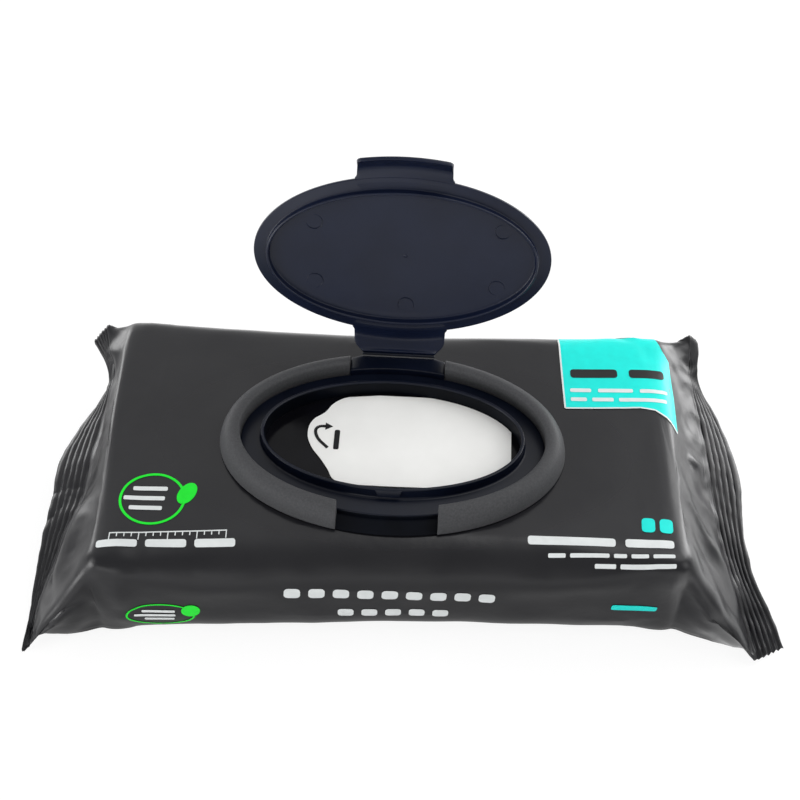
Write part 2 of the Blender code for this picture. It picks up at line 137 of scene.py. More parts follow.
def merged_copy(node, name):
    """A clean, welded copy of a CAD node's mesh, as quads where they fit."""
    piece = frame["nodes"][node].copy()
    piece.data = piece.data.copy()
    piece.name = name
    piece.data.name = name
    bpy.context.scene.collection.objects.link(piece)
    world = piece.matrix_world.copy()
    piece.parent = None
    piece.matrix_world = world
    settle(piece)
    piece.data.materials.clear()
    bpy.ops.object.mode_set(mode="EDIT")
    bpy.ops.mesh.select_all(action="SELECT")
    bpy.ops.mesh.remove_doubles(threshold=0.01 * MM)
    bpy.ops.mesh.tris_convert_to_quads(face_threshold=radians(40), shape_threshold=radians(60))
    bpy.ops.object.mode_set(mode="OBJECT")
    return piece


def wear(piece, body, material, angle):
    """Give a finished piece its material, smooth shading and body."""
    piece.data.materials.clear()
    piece.data.materials.append(material)
    select_only(piece)
    bpy.ops.object.shade_smooth_by_angle(angle=radians(angle))
    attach(piece, body)
    print(piece.name, len(piece.data.polygons), "faces on", body)


# %% [markdown]
# The camera looks down on the pack from the front. It could be aimed by eye, but an error
# of a degree or two would move every edge. So its tilt, roll and distance come from
# matching the oval frame, the lid and the pack's long edges in the photograph, and the
# lens follows from the picture's width in pixels.

# %% Camera
PICTURE = 800                    # the photograph's width and height, in pixels
FOCAL_PIXELS = 1539.8
SENSOR = 36                      # Blender's own sensor width, in mm
DISTANCE = 481.1 * MM
ELEVATION = radians(49.62)
YAW = radians(-1.91)
ROLL = radians(-1.50)
SHIFT_RIGHT = -2.385 * MM
SHIFT_UP = -14.036 * MM

right = Vector((cos(YAW), -sin(YAW), 0))
ahead = Vector((sin(YAW), cos(YAW), 0))
forward = ahead * cos(ELEVATION) - Vector((0, 0, sin(ELEVATION)))
upward = ahead * sin(ELEVATION) + Vector((0, 0, cos(ELEVATION)))
camera_x = right * cos(ROLL) - upward * sin(ROLL)
camera_y = right * sin(ROLL) + upward * cos(ROLL)
camera_place = (Vector((0, 0, BASE_Z)) - forward * DISTANCE
                - camera_x * SHIFT_RIGHT - camera_y * SHIFT_UP)
bpy.ops.object.camera_add()
camera = bpy.context.object
turn = Matrix((camera_x, camera_y, -forward)).transposed()
camera.matrix_world = Matrix.Translation(camera_place) @ turn.to_4x4()
camera.data.sensor_width = SENSOR
camera.data.lens = SENSOR * FOCAL_PIXELS / PICTURE
bpy.context.scene.camera = camera
print("camera lens", round(camera.data.lens, 1), "mm at", [round(v, 3) for v in camera_place])

# %% [markdown]
# Around the pack all is plain white. Glossy dark film mirrors its surroundings, so a world
# that is simply white would turn it grey. Dark cards round the pack could stop that. Here
# the kind of ray decides instead: the world is white to the camera, grey as a light, and
# brighter behind than in front to reflections.


# %% World
def seen_share(nodes, links, kinds=("Is Camera Ray", "Is Glossy Ray", "Is Transmission Ray")):
    """1 for these kinds of ray, 0 for the rest."""
    path = nodes.new("ShaderNodeLightPath")
    total = path.outputs[kinds[0]]
    for kind in kinds[1:]:
        both = nodes.new("ShaderNodeMath")
        both.operation = "MAXIMUM"
        links.new(total, both.inputs[0])
        links.new(path.outputs[kind], both.inputs[1])
        total = both.outputs["Value"]
    return total


def choose(nodes, links, share, low, high):
    """A value that goes from low to high with the share. Each may be a number or a socket."""
    mix = nodes.new("ShaderNodeMapRange")
    links.new(share, mix.inputs["Value"])
    for socket, value in (("To Min", low), ("To Max", high)):
        if isinstance(value, float):
            mix.inputs[socket].default_value = value
        else:
            links.new(value, mix.inputs[socket])
    return mix.outputs["Result"]


BEHIND_TILT = radians(20)        # the brightest place is behind the pack, this far up
DIM_UNTIL = 0.25                 # share of the way to it at which reflections start to brighten
WHITE_FROM = 0.8                 # and at which they are white


def white_world(light, dim_front):
    """White to the camera, grey as a light. Reflections see white behind, grey in front."""
    world = bpy.data.worlds.new("studio")
    bpy.context.scene.world = world
    world.use_nodes = True
    nodes, links = world.node_tree.nodes, world.node_tree.links
    background = nodes["Background"]
    background.inputs["Color"].default_value = (1, 1, 1, 1)
    coordinates = nodes.new("ShaderNodeTexCoord")
    behind = nodes.new("ShaderNodeVectorMath")
    behind.operation = "DOT_PRODUCT"
    behind.inputs[1].default_value = (0, cos(BEHIND_TILT), sin(BEHIND_TILT))
    links.new(coordinates.outputs["Generated"], behind.inputs[0])
    wall = nodes.new("ShaderNodeMapRange")
    wall.inputs["From Min"].default_value = DIM_UNTIL
    wall.inputs["From Max"].default_value = WHITE_FROM
    wall.inputs["To Min"].default_value = dim_front
    wall.inputs["To Max"].default_value = 1.0
    links.new(behind.outputs["Value"], wall.inputs["Value"])
    mirrored = seen_share(nodes, links, ("Is Glossy Ray", "Is Transmission Ray"))
    strength = choose(nodes, links, mirrored, light, wall.outputs["Result"])
    strength = choose(nodes, links, seen_share(nodes, links, ("Is Camera Ray",)), strength, 1.0)
    links.new(strength, background.inputs["Strength"])


white_world(light=0.5, dim_front=0.42)
print("world:", bpy.context.scene.world.name)

# %% [markdown]
# The floor is white paper with only a faint shadow under the pack. Paper bright enough to
# look white would need lamps that wash out the film, so most of its white is a glow that
# only seen rays find. The rest is true paper, which takes the shadow. Reflections see it
# brighter behind the pack and at its right end, and dim just in front of it.

# %% Floor
FLOOR_GLOW = 0.79                # share of the floor's white that is glow
SEEN_GLOW = 1.1                  # its strength to the camera
MIRRORED_GLOW = 1.9              # its greatest strength in reflections
MIRRORED_ENDS = ((0.15, 0.60), (0.75, 1.0))          # share of the way back, and brightness
MIRRORED_MIDDLE = ((0.30, 0.26), (0.42, 0.32))
FLOOR_REACH = 0.20               # how far in front and behind the brightness changes
END_SHIFTS = ((0.09, 0.11, 0.20), (-0.09, -0.13, -0.09))    # from x, to x, shift along y


def floor_material():
    """White paper that still takes the pack's soft shadow."""
    material = bpy.data.materials.new("white_floor")
    material.use_nodes = True
    nodes, links = material.node_tree.nodes, material.node_tree.links
    shader = nodes["Principled BSDF"]
    shader.inputs["Base Color"].default_value = (0.82, 0.82, 0.82, 1)
    shader.inputs["Roughness"].default_value = 0.9
    coordinates = nodes.new("ShaderNodeTexCoord")
    split = nodes.new("ShaderNodeSeparateXYZ")
    links.new(coordinates.outputs["Object"], split.inputs["Vector"])
    way_back = split.outputs["Y"]
    for start, end, shift in END_SHIFTS:
        beside = nodes.new("ShaderNodeMapRange")
        beside.inputs["From Min"].default_value = start
        beside.inputs["From Max"].default_value = end
        beside.inputs["To Max"].default_value = shift
        links.new(split.outputs["X"], beside.inputs["Value"])
        total = nodes.new("ShaderNodeMath")
        links.new(way_back, total.inputs[0])
        links.new(beside.outputs["Result"], total.inputs[1])
        way_back = total.outputs["Value"]
    depth = nodes.new("ShaderNodeMapRange")
    depth.inputs["From Min"].default_value = -FLOOR_REACH
    depth.inputs["From Max"].default_value = FLOOR_REACH
    links.new(way_back, depth.inputs["Value"])
    ramp = nodes.new("ShaderNodeValToRGB")
    stops = ramp.color_ramp.elements
    for stop, (position, value) in zip(list(stops), MIRRORED_ENDS):
        stop.position = position
        stop.color = (value, value, value, 1)
    for position, value in MIRRORED_MIDDLE:
        stop = stops.new(position)
        stop.color = (value, value, value, 1)
    links.new(depth.outputs["Result"], ramp.inputs["Fac"])
    bright = nodes.new("ShaderNodeMath")
    bright.operation = "MULTIPLY"
    bright.inputs[1].default_value = MIRRORED_GLOW
    links.new(ramp.outputs["Color"], bright.inputs[0])
    glow = nodes.new("ShaderNodeEmission")
    mirrored = seen_share(nodes, links, ("Is Glossy Ray",))
    links.new(choose(nodes, links, mirrored, SEEN_GLOW, bright.outputs["Value"]),
              glow.inputs["Strength"])
    mix = nodes.new("ShaderNodeMixShader")
    share = nodes.new("ShaderNodeMath")
    share.operation = "MULTIPLY"
    share.inputs[1].default_value = FLOOR_GLOW
    links.new(seen_share(nodes, links), share.inputs[0])
    links.new(share.outputs["Value"], mix.inputs["Fac"])
    links.new(shader.outputs["BSDF"], mix.inputs[1])
    links.new(glow.outputs["Emission"], mix.inputs[2])
    links.new(mix.outputs["Shader"], nodes["Material Output"].inputs["Surface"])
    return material


bpy.ops.mesh.primitive_plane_add(size=6, location=(0, 0, 0))
floor = bpy.context.object
floor.name = "floor"
floor.data.materials.append(floor_material())
print("floor:", [round(side, 1) for side in floor.dimensions], "m")

# %% [markdown]
# The photograph's light is soft and even. One big lamp would do for matt plastic, but film
# needs something to mirror. So big soft boxes stand overhead, at the sides and low in
# front, and smaller ones, low on the left and behind on both sides, give the corners and
# the ends their sheen.


# %% Lamps
def soft_lamp(name, place, size, power, target=(0, 0, 0.03)):
    """A square soft box that faces the pack."""
    bpy.ops.object.light_add(type="AREA", location=place)
    lamp = bpy.context.object
    lamp.name = name
    lamp.data.size = size
    lamp.data.energy = power
    lamp.visible_camera = False
    aim = Vector(target) - Vector(place)
    lamp.rotation_euler = aim.to_track_quat("-Z", "Y").to_euler()


soft_lamp("overhead_box", (0.35, 0.1, 0.85), 0.6, 1.9)
soft_lamp("left_box", (-0.8, -0.25, 0.5), 0.5, 1.4)
soft_lamp("right_box", (0.8, -0.35, 0.5), 0.5, 1.3)
soft_lamp("front_box", (-0.3, -0.9, 0.12), 0.5, 1.2)
soft_lamp("left_low_box", (-0.55, -0.3, 0.10), 0.3, 1.8, (-0.08, -0.03, 0.02))
soft_lamp("back_right_box", (0.45, 0.22, 0.32), 0.25, 0.9, (0.09, 0, 0.03))
soft_lamp("right_strip", (0.42, 0.36, 0.05), 0.30, 2.5, (0.1, 0, 0.02))
soft_lamp("left_strip", (-0.44, 0.32, 0.05), 0.25, 1.1, (-0.1, 0, 0.02))
bpy.context.scene.view_settings.view_transform = "Standard"

# %% [markdown]
# No real surface has one even colour and gloss. Image textures could show that, but they
# blur up close, so each finish here is worked out by nodes. The first helper makes a plain
# Principled shader. The others add a fine bump, let the gloss wander and let the colour
# drift, all from noise in the piece's own coordinates.


# %% Shader helpers
def plastic(name, colour, roughness, specular):
    """A plain plastic shader to build on. Returns the material, its nodes and links."""
    material = bpy.data.materials.new(name)
    material.use_nodes = True
    nodes, links = material.node_tree.nodes, material.node_tree.links
    shader = nodes["Principled BSDF"]
    shader.inputs["Base Color"].default_value = (*colour, 1)
    shader.inputs["Roughness"].default_value = roughness
    shader.inputs["Specular IOR Level"].default_value = specular
    return material, nodes, links


def add_grain(nodes, links, size, depth, strength, detail=3.0):
    """Fine bump from noise; size is the grain's width and depth its height."""
    coordinates = nodes.new("ShaderNodeTexCoord")
    grain = nodes.new("ShaderNodeTexNoise")
    grain.inputs["Scale"].default_value = 1 / size
    grain.inputs["Detail"].default_value = detail
    bump = nodes.new("ShaderNodeBump")
    bump.inputs["Distance"].default_value = depth
    bump.inputs["Strength"].default_value = strength
    links.new(coordinates.outputs["Object"], grain.inputs["Vector"])
    links.new(grain.outputs["Fac"], bump.inputs["Height"])
    links.new(bump.outputs["Normal"], nodes["Principled BSDF"].inputs["Normal"])
    return coordinates


def wander(nodes, links, coordinates, size, low, high):
    """Let the gloss wander a little over the surface."""
    cloud = nodes.new("ShaderNodeTexNoise")
    cloud.inputs["Scale"].default_value = 1 / size
    cloud.inputs["Detail"].default_value = 2.0
    span = nodes.new("ShaderNodeMapRange")
    span.inputs["To Min"].default_value = low
    span.inputs["To Max"].default_value = high
    links.new(coordinates.outputs["Object"], cloud.inputs["Vector"])
    links.new(cloud.outputs["Fac"], span.inputs["Value"])
    links.new(span.outputs["Result"], nodes["Principled BSDF"].inputs["Roughness"])


def tint(nodes, links, coordinates, size, dark, light):
    """Let the colour drift between two near shades."""
    cloud = nodes.new("ShaderNodeTexNoise")
    cloud.inputs["Scale"].default_value = 1 / size
    cloud.inputs["Detail"].default_value = 3.0
    ramp = nodes.new("ShaderNodeValToRGB")
    ramp.color_ramp.elements[0].position = 0.3
    ramp.color_ramp.elements[0].color = (*dark, 1)
    ramp.color_ramp.elements[1].position = 0.7
    ramp.color_ramp.elements[1].color = (*light, 1)
    links.new(coordinates.outputs["Object"], cloud.inputs["Vector"])
    links.new(cloud.outputs["Fac"], ramp.inputs["Fac"])
    links.new(ramp.outputs["Color"], nodes["Principled BSDF"].inputs["Base Color"])


print("materials so far:", [material.name for material in bpy.data.materials])

# %% [markdown]
# The film is pulled taut where the frame is stuck to it, so it is glossier there. The place
# could be painted by hand, but the frame is an oval, so the distance from its opening marks
# it exactly, in the piece's own coordinates.

# %% Taut film near the frame
OPENING_X = 39.9 * MM            # half the oval opening's width
OPENING_Y = 20.9 * MM            # and half its depth
print("opening", round(2 * OPENING_X / MM, 1), "x", round(2 * OPENING_Y / MM, 1), "mm")


def away_from_frame(nodes, links, coordinates, near, far):
    """0 at the frame, 1 out on the film. near and far count the opening as 1."""
    scaled = nodes.new("ShaderNodeVectorMath")
    scaled.operation = "MULTIPLY"
    scaled.inputs[1].default_value = (1 / OPENING_X, 1 / OPENING_Y, 0)
    links.new(coordinates.outputs["Object"], scaled.inputs[0])
    reach = nodes.new("ShaderNodeVectorMath")
    reach.operation = "LENGTH"
    links.new(scaled.outputs["Vector"], reach.inputs[0])
    share = nodes.new("ShaderNodeMapRange")
    share.inputs["From Min"].default_value = near
    share.inputs["From Max"].default_value = far
    links.new(reach.outputs["Value"], share.inputs["Value"])
    return share.outputs["Result"]


# %% [markdown]
# The finishes: a laminate film with a satin sheen, a fine-grained matt plastic on the
# frame's rim, a smoother blue-black one inside it and on the lid, a near-black painted shade
# for the deep places in the frame, the glossy film of the window with a darker colour that
# is painted shade, the label's white film and the printing inks.
# They are all made the same way, so one function makes them from a few numbers each.


# %% Finishes
def surface(name, colour, roughness, specular, grain, gloss, shades):
    """A finish with grain, a gloss that wanders and a colour that drifts.

    grain is a size and a depth in mm, a strength and maybe a level of detail. gloss and
    shades are a size in mm and the two ends of a range.
    """
    material, nodes, links = plastic(name, colour, roughness, specular)
    size, depth, *strength = grain
    coordinates = add_grain(nodes, links, size * MM, depth * MM, *strength)
    wander(nodes, links, coordinates, gloss[0] * MM, *gloss[1:])
    tint(nodes, links, coordinates, shades[0] * MM, *shades[1:])
    return material


def shine_near_frame(material, near, far, roughness):
    """Give film a tighter gloss near the frame. near and far count the opening as 1."""
    nodes, links = material.node_tree.nodes, material.node_tree.links
    rough = nodes["Principled BSDF"].inputs["Roughness"]
    share = away_from_frame(nodes, links, nodes["Texture Coordinate"], near, far)
    links.new(choose(nodes, links, share, roughness, rough.links[0].from_socket), rough)


film_finish = surface("film_laminate", (0.008, 0.008, 0.010), 0.34, 0.40,
                      grain=(5, 0.35, 0.22, 4.0), gloss=(30, 0.26, 0.38),
                      shades=(22, (0.006, 0.006, 0.008), (0.010, 0.010, 0.012)))
shine_near_frame(film_finish, 1.6, 1.95, 0.17)
rim_finish = surface("rim_plastic", (0.065, 0.065, 0.068), 0.55, 0.08,
                     grain=(0.30, 0.05, 0.45), gloss=(8, 0.46, 0.56),
                     shades=(0.6, (0.054, 0.055, 0.058), (0.073, 0.074, 0.078)))
inner_finish = surface("inner_plastic", (0.002, 0.004, 0.011), 0.30, 0.28,
                       grain=(0.5, 0.02, 0.15), gloss=(12, 0.27, 0.36),
                       shades=(10, (0.0015, 0.003, 0.009), (0.003, 0.005, 0.013)))
# Near-black painted shade for the deep places of the frame.
painted_shade_finish = surface("painted_shade_plastic", (0.001, 0.002, 0.004), 0.45, 0.06,
                      grain=(0.5, 0.02, 0.15), gloss=(12, 0.40, 0.50),
                      shades=(10, (0.001, 0.0015, 0.003), (0.002, 0.003, 0.006)))
# Glossy window film: the gloss is its own, the darker colour is painted shade of the deep
# opening.
window_shade_finish = surface("glossy_window_painted_shade", (0.003, 0.003, 0.004), 0.15, 0.14,
                        grain=(9, 0.3, 0.25, 2.0), gloss=(9, 0.10, 0.24),
                        shades=(12, (0.002, 0.002, 0.003), (0.004, 0.004, 0.006)))
lid_finish = surface("lid_gloss", (0.004, 0.007, 0.022), 0.32, 0.34,
                     grain=(0.45, 0.03, 0.25), gloss=(14, 0.26, 0.35),
                     shades=(16, (0.003, 0.006, 0.020), (0.005, 0.009, 0.027)))
label_finish = surface("label_white", (0.88, 0.88, 0.86), 0.42, 0.4,
                       grain=(4, 0.15, 0.15), gloss=(10, 0.38, 0.48),
                       shades=(14, (0.85, 0.85, 0.83), (0.90, 0.90, 0.88)))
INK_FADE = 0.93                  # the paler places, as a share of the full colour


def ink(name, colour):
    """A printed ink with the film's satin sheen and a slightly uneven lay."""
    material, nodes, links = plastic(name, colour, 0.42, 0.3)
    coordinates = add_grain(nodes, links, 5 * MM, 0.35 * MM, 0.15, 4.0)
    faded = [INK_FADE * value for value in colour]
    tint(nodes, links, coordinates, 3 * MM, faded, colour)
    return material


white_ink = ink("white_ink", (0.72, 0.75, 0.75))
mint_ink = ink("mint_ink", (0.004, 0.76, 0.68))
green_ink = ink("green_ink", (0.008, 0.80, 0.030))
black_ink = ink("black_ink", (0.006, 0.006, 0.007))
print("finishes:", [material.name for material in bpy.data.materials])

# %% [markdown]
# The film is the soft part. It could be blown up from a flat tube by a cloth simulation, but
# stiff film holds the shape of the stack inside it. So its cage is a welded copy of the
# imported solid, whose outline stays where the frame has it. The two films of each end seal
# are drawn together to a real thickness, the long faces are cut across, and two levels of
# subdivision round it.

# %% The film's cage
PACK_TURN = radians(2.2)         # the frame was stuck on slightly askew
SEAL_THICKNESS = 0.35 * MM
SEAL_SEARCH = 1.6 * MM           # two films closer than this are a seal
JUST_INSIDE = 0.05 * MM
CUT_SPACING = 6 * MM
CUTS_EACH_SIDE = 13
CREASE = 0.6
pack_turn = Matrix.Rotation(PACK_TURN, 4, "Z")

film = merged_copy("film_pack", "film_skin")
cage = bmesh.new()
cage.from_mesh(film.data)
cage.normal_update()
tree = bvhtree.BVHTree.FromBMesh(cage)
drawn_in = []
for vertex in cage.verts:
    start = vertex.co - vertex.normal * JUST_INSIDE
    hit = tree.ray_cast(start, -vertex.normal, SEAL_SEARCH)
    if hit[0] is not None:
        drawn_in.append((vertex, max(0.0, hit[3] + JUST_INSIDE - SEAL_THICKNESS) / 2))
for vertex, depth in drawn_in:
    vertex.co -= vertex.normal * depth
along = pack_turn @ Vector((1, 0, 0))
for step in range(-CUTS_EACH_SIDE, CUTS_EACH_SIDE + 1):
    bmesh.ops.bisect_plane(cage, geom=cage.verts[:] + cage.edges[:] + cage.faces[:],
                           plane_co=along * step * CUT_SPACING, plane_no=along)
crease = cage.edges.layers.float.new("crease_edge")
for edge in cage.edges:
    if len(edge.link_faces) == 2 and edge.calc_face_angle() > radians(60):
        edge[crease] = CREASE
cage.to_mesh(film.data)
cage.free()
smooth = film.modifiers.new("smooth", "SUBSURF")
smooth.levels = smooth.render_levels = 2
apply_all(film)
print("film cage drawn in at", len(drawn_in), "points;", len(film.data.polygons), "faces")

# %% [markdown]
# Film doesn't stretch, so it takes up slack in creases: a crisp edge round the stack's left
# end, a soft fold down the right end, folded triangles at the front corners and small
# puckers where it runs into the crimps. They could be sculpted with a brush, but a list can
# be read and changed. Each fold is a line along which the surface is lifted, highest on the
# line and falling away over the fold's width: sharply, or as a round swell if it is wide.

# %% The film's folds
FOLDS = (      # points of the line (mm, in the pack's own frame), width and height (mm)
    ("left edge", ((-89, 50, 37.5), (-88.8, 20, 37.6), (-88.5, -10, 37.5)), 1.6, 0.8),
    ("left crimp crease", ((-88.5, -9, 37), (-95, -13, 26), (-98.5, -17, 20), (-103, -30, 12),
                           (-106.5, -41, 9), (-111, -51, 4)), 1.1, 1.9),
    ("left facet crease", ((-89.4, -46.4, 30), (-100, -49, 16), (-111, -53, 2.5)), 1.8, 1.6),
    ("left facet side", ((-88.6, -46.5, 27), (-93, -47.5, 14), (-101, -49, 0.5)), 2.0, 1.3),
    ("left facet hollow", ((-94, -47.5, 18), (-104, -50, 5)), 3.0, -1.4),
    ("corner ridge", ((-80.5, -44, 33), (-80, -46.5, 24), (-82, -46.5, 14)), 2.6, 2.0),
    ("corner hollow", ((-86.5, -45, 30), (-87, -46, 16)), 2.5, -1.2),
    ("corner crinkle", ((-83.8, -44.6, 31), (-83.1, -46.3, 20.6)), 1.5, 1.7),
    ("corner crinkle", ((-87.6, -41.9, 32.5), (-81.4, -46.3, 18)), 1.8, 1.5),
    ("corner crinkle", ((-89.4, -44.4, 33), (-87.4, -46.8, 22)), 1.4, 1.7),
    ("corner crinkle", ((-80, -40, 35.5), (-78.5, -44.5, 31)), 1.4, 0.9),
    ("corner valley", ((-85.6, -44.5, 30), (-84.6, -46.6, 20)), 1.6, -1.3),
    ("corner facet", ((-92, -44.5, 27), (-88, -46, 20), (-84, -46.5, 12)), 2.4, 1.6),
    ("left pucker", ((-97.5, -4, 25), (-91, -6, 33)), 1.2, 1.0),
    ("left pucker", ((-101.5, -14, 18), (-97.5, -15.5, 22)), 1.0, 0.8),
    ("left slope fold", ((-90, 8, 36), (-97, 3, 26)), 2.0, 0.7),
    ("left slope swell", ((-92.5, -12, 30), (-95.5, -24, 26), (-97.5, -36, 20), (-99, -46, 13)),
     5.5, 3.6),
    ("left ear fold", ((-88.5, 38, 36), (-97, 46, 27)), 2.0, 0.9),
    ("left ear fold", ((-90, 24, 35), (-97, 30, 26)), 1.6, 0.6),
    ("right edge", ((88, -30, 35.5), (90.3, -39, 31.4), (92, -42.3, 26.8),
                    (100.5, -43.8, 15)), 3.0, 1.4),
    ("right facet", ((87, -4, 36.5), (92, -14, 31), (99, -24, 22), (106, -30, 13)), 2.0, 1.2),
    ("right facet hollow", ((90, -22, 33), (100, -34, 18)), 4.5, -0.8),
    ("right slope swell", ((97, -14, 25), (103, -28, 14), (110, -40, 5)), 5.0, 1.6),
    ("dog-ear crease", ((90.5, -42, 29), (96, -43.5, 21), (103, -46, 12), (112, -50, 3)),
     1.8, 1.5),
    ("dog-ear underfold", ((84, -44.5, 26), (92, -46.5, 12), (103, -50, 1.5)), 2.2, 1.0),
    ("dog-ear hollow", ((89, -45, 22), (98, -47.5, 9)), 3.0, -1.2),
    ("corner crinkle", ((86, -40.5, 33), (84.5, -44.5, 27)), 1.4, 0.9),
    ("corner crinkle", ((90, -38, 31.5), (87.5, -43, 26.5)), 1.4, 0.8),
    ("corner crinkle", ((83, -38.5, 35.3), (80, -43, 31)), 1.4, 0.6),
    ("right pucker", ((95, 38.5, 28), (100.5, 37.5, 21)), 1.5, 1.3),
    ("right pucker", ((95.5, 27, 27), (101, 26, 20.5)), 1.4, 1.1),
    ("right pucker", ((93.5, 6, 29), (100.5, 3.8, 20.5)), 1.8, 1.6),
    ("right pucker", ((94, 16, 28), (100.5, 15, 20.5)), 1.2, 0.8),
    ("right pucker", ((98, -9, 23), (103.5, -11, 16.5)), 1.3, 0.8),
    ("right ear fold", ((88, 47, 35), (94, 50.5, 31)), 2.0, 0.8),
    ("front slack", ((30, -45.5, 26), (56, -43.5, 29), (76, -43, 30)), 5.0, 0.8),
    ("front slack", ((52, -46, 22), (70, -46.5, 15), (84, -46.5, 9)), 3.0, 0.7),
    ("front slack", ((-30, -44.5, 28), (-58, -45, 26), (-80, -44.5, 29)), 5.5, 0.8),
    ("top slack", ((30, -34, 37.7), (56, -37, 36.5), (74, -39, 35)), 4.0, 0.5),
    ("top slack", ((-84, 20, 37.7), (-62, 30, 37.7)), 5.0, 0.35),
    ("back slack", ((-60, 50, 33), (-10, 50.5, 30), (50, 49.5, 33)), 4.0, 0.5),
    ("back slack", ((-70, 44, 37), (-40, 49, 34)), 2.4, 0.5),
    ("back slack", ((20, 47, 36.5), (60, 43, 37.5)), 2.6, 0.5),
)
SHOULDERS = (      # edges of the stack that the film passes over softly, and how far it does
    (((88.5, 48, 37.5), (88.5, 9, 37.5), (88, -18, 37.5), (89, -34, 35)), 9.0),
    (((-88.5, -8, 37.5), (-88.5, -30, 37.5), (-88.5, -46, 35.5)), 9.0),
)
print(len(FOLDS), "folds and", len(SHOULDERS), "soft shoulders")

# %% [markdown]
# Over the ends of the stack the film passes in a soft round, with no edge of its own. More
# subdivision would round the whole pack, so a Smooth modifier works on those two shoulders
# alone. A vertex group says how much of it each point takes: less, the further it lies from
# the stack's edge.


# %% Soft shoulders
def read_vertices(piece, field):
    """The places or normals of a piece's vertices as rows of numbers."""
    values = np.empty(len(piece.data.vertices) * 3, np.float32)
    piece.data.vertices.foreach_get(field, values)
    return values.reshape(-1, 3).astype(float)


def gap_to(points, line):
    """How far each point lies from a line of points, all in mm."""
    gap = np.full(len(points), 1000.0)
    for start, end in zip(line, line[1:]):
        start, end = np.array(start, float), np.array(end, float)
        run = end - start
        share = np.clip((points - start) @ run / (run @ run), 0, 1)
        gap = np.minimum(gap, np.linalg.norm(points - (start + share[:, None] * run), axis=1))
    return gap


def relax_shoulders(piece, iterations):
    """Smooth the points of the shoulder group."""
    relax = piece.modifiers.new("relax", "SMOOTH")
    relax.vertex_group = shoulder.name
    relax.iterations = iterations
    apply_all(piece)


unturn = np.array(pack_turn.inverted().to_3x3())
local = read_vertices(film, "co") @ unturn.T / MM
shoulder = film.vertex_groups.new(name="shoulders")
for line, reach in SHOULDERS:
    gaps = gap_to(local, line)
    for index in np.flatnonzero(gaps < reach):
        shoulder.add([int(index)], float(1 - (gaps[index] / reach) ** 2), "REPLACE")
relax_shoulders(film, 24)
print("film has", len(film.data.vertices), "points")

# %% [markdown]
# Between the folds the film is gently uneven, with small wrinkles at the ends of the pack.
# A Displace modifier could add those from a texture, but it can't tell the ends from the
# middle. So each point's lift is worked out here: its folds, a slow wave and some wrinkles.
# The film stays flat under the frame and on the floor.


# %% Lift the film
CALM_EDGE = 15.5 * MM            # the frame's foot covers the film this far from the opening
CALM_FADE = 0.15                 # and the lift comes back over this share of the oval
ENDS_FROM = 66                   # wrinkles start this far from the middle, in mm
ENDS_OVER = 26                   # and are full this much further out
STACK_TOP = 37.0                 # level of the stack's top, in mm
SIDE_OVER = 10                   # the sides' own waves are full this far below it
FOOT_OVER = 4                    # and this far above the floor
FLOOR_FADE = 3 * MM              # the film lies still on the floor, and is free from here up
TOP_BAND = 4 * MM                # what lies this close below the frame's foot is the top
ROUND_FROM = 5                   # a fold this wide is a round swell
TIP_DROP = 0.9                   # a fold loses this share of its height at its two tips
TIP_SHARE = 0.2                  # over this share of its length


def fold_lift(points, line, width, height):
    """How far one fold lifts each point, in metres. Everything here is in mm but the result."""
    reach = gap_to(points, line) / width
    lift = np.exp(-reach ** 2 if width >= ROUND_FROM else -reach)
    ends = [np.linalg.norm(points - np.array(tip, float), axis=1) for tip in (line[0], line[-1])]
    length = sum(np.linalg.norm(np.subtract(b, a)) for a, b in zip(line, line[1:]))
    for away in ends:
        lift *= 1 - TIP_DROP * np.exp(-(away / (TIP_SHARE * length)) ** 2)
    return lift * height * MM


def film_noise(point, size, ridged):
    """Smooth noise, or noise folded into ridges, at a scale in mm."""
    value = noise.noise(Vector(point) / size)
    return (0.35 - abs(value)) * 2 if ridged else value


def slack(point, at_end, at_side):
    """How far loose film stands off at a point, in mm: slow waves, then sharper wrinkles."""
    gentle = 0.55 * film_noise(point * (0.6, 1, 1), 32, False)
    gentle += 0.20 * film_noise(point + 40, 12, False) * (0.3 + at_side)
    wrinkle = 0.60 * film_noise(point * (1, 0.8, 1), 14, True)
    wrinkle += 0.22 * film_noise(point + 80, 5.5, True)
    return gentle + wrinkle * (0.9 * at_end + 0.12 * at_side)


places = read_vertices(film, "co")
normals = read_vertices(film, "normal")
local = places @ unturn.T / MM
lift = np.zeros(len(places))
for name, line, width, height in FOLDS:
    lift += fold_lift(local, line, width, height)
ring = np.sqrt((places[:, 0] / (OPENING_X + CALM_EDGE)) ** 2
               + (places[:, 1] / (OPENING_Y + CALM_EDGE)) ** 2)
on_top = places[:, 2] > BASE_Z - TOP_BAND
loose = np.where(on_top, np.clip((ring - 1) / CALM_FADE, 0, 1), 1.0)
lift *= loose
end_share = np.clip((np.abs(local[:, 0]) - ENDS_FROM) / ENDS_OVER, 0, 1)
side_share = (np.clip((STACK_TOP - local[:, 2]) / SIDE_OVER, 0, 1)
              * np.clip(local[:, 2] / FOOT_OVER, 0, 1))
for index, point in enumerate(local):
    lift[index] += slack(point, end_share[index], side_share[index]) * MM * loose[index]
lift *= np.clip(places[:, 2] / FLOOR_FADE, 0, 1)
places += normals * lift[:, None]
places[:, 2] = np.maximum(places[:, 2], 0)
film.data.vertices.foreach_set("co", places.astype(np.float32).ravel())
film.data.update()
relax_shoulders(film, 6)
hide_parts("film_pack")
wear(film, "pack", film_finish, 75)
print("film lifted by", round(lift.min() / MM, 2), "to", round(lift.max() / MM, 2), "mm")

# %% [markdown]
# The sections of the frame and the lid have small round corners, which catch the light. A
# Bevel modifier could round them, but it gives up where a wall is thin. So a section is
# drawn as an outline in mm, and these helpers round its corners or read it as a curve.


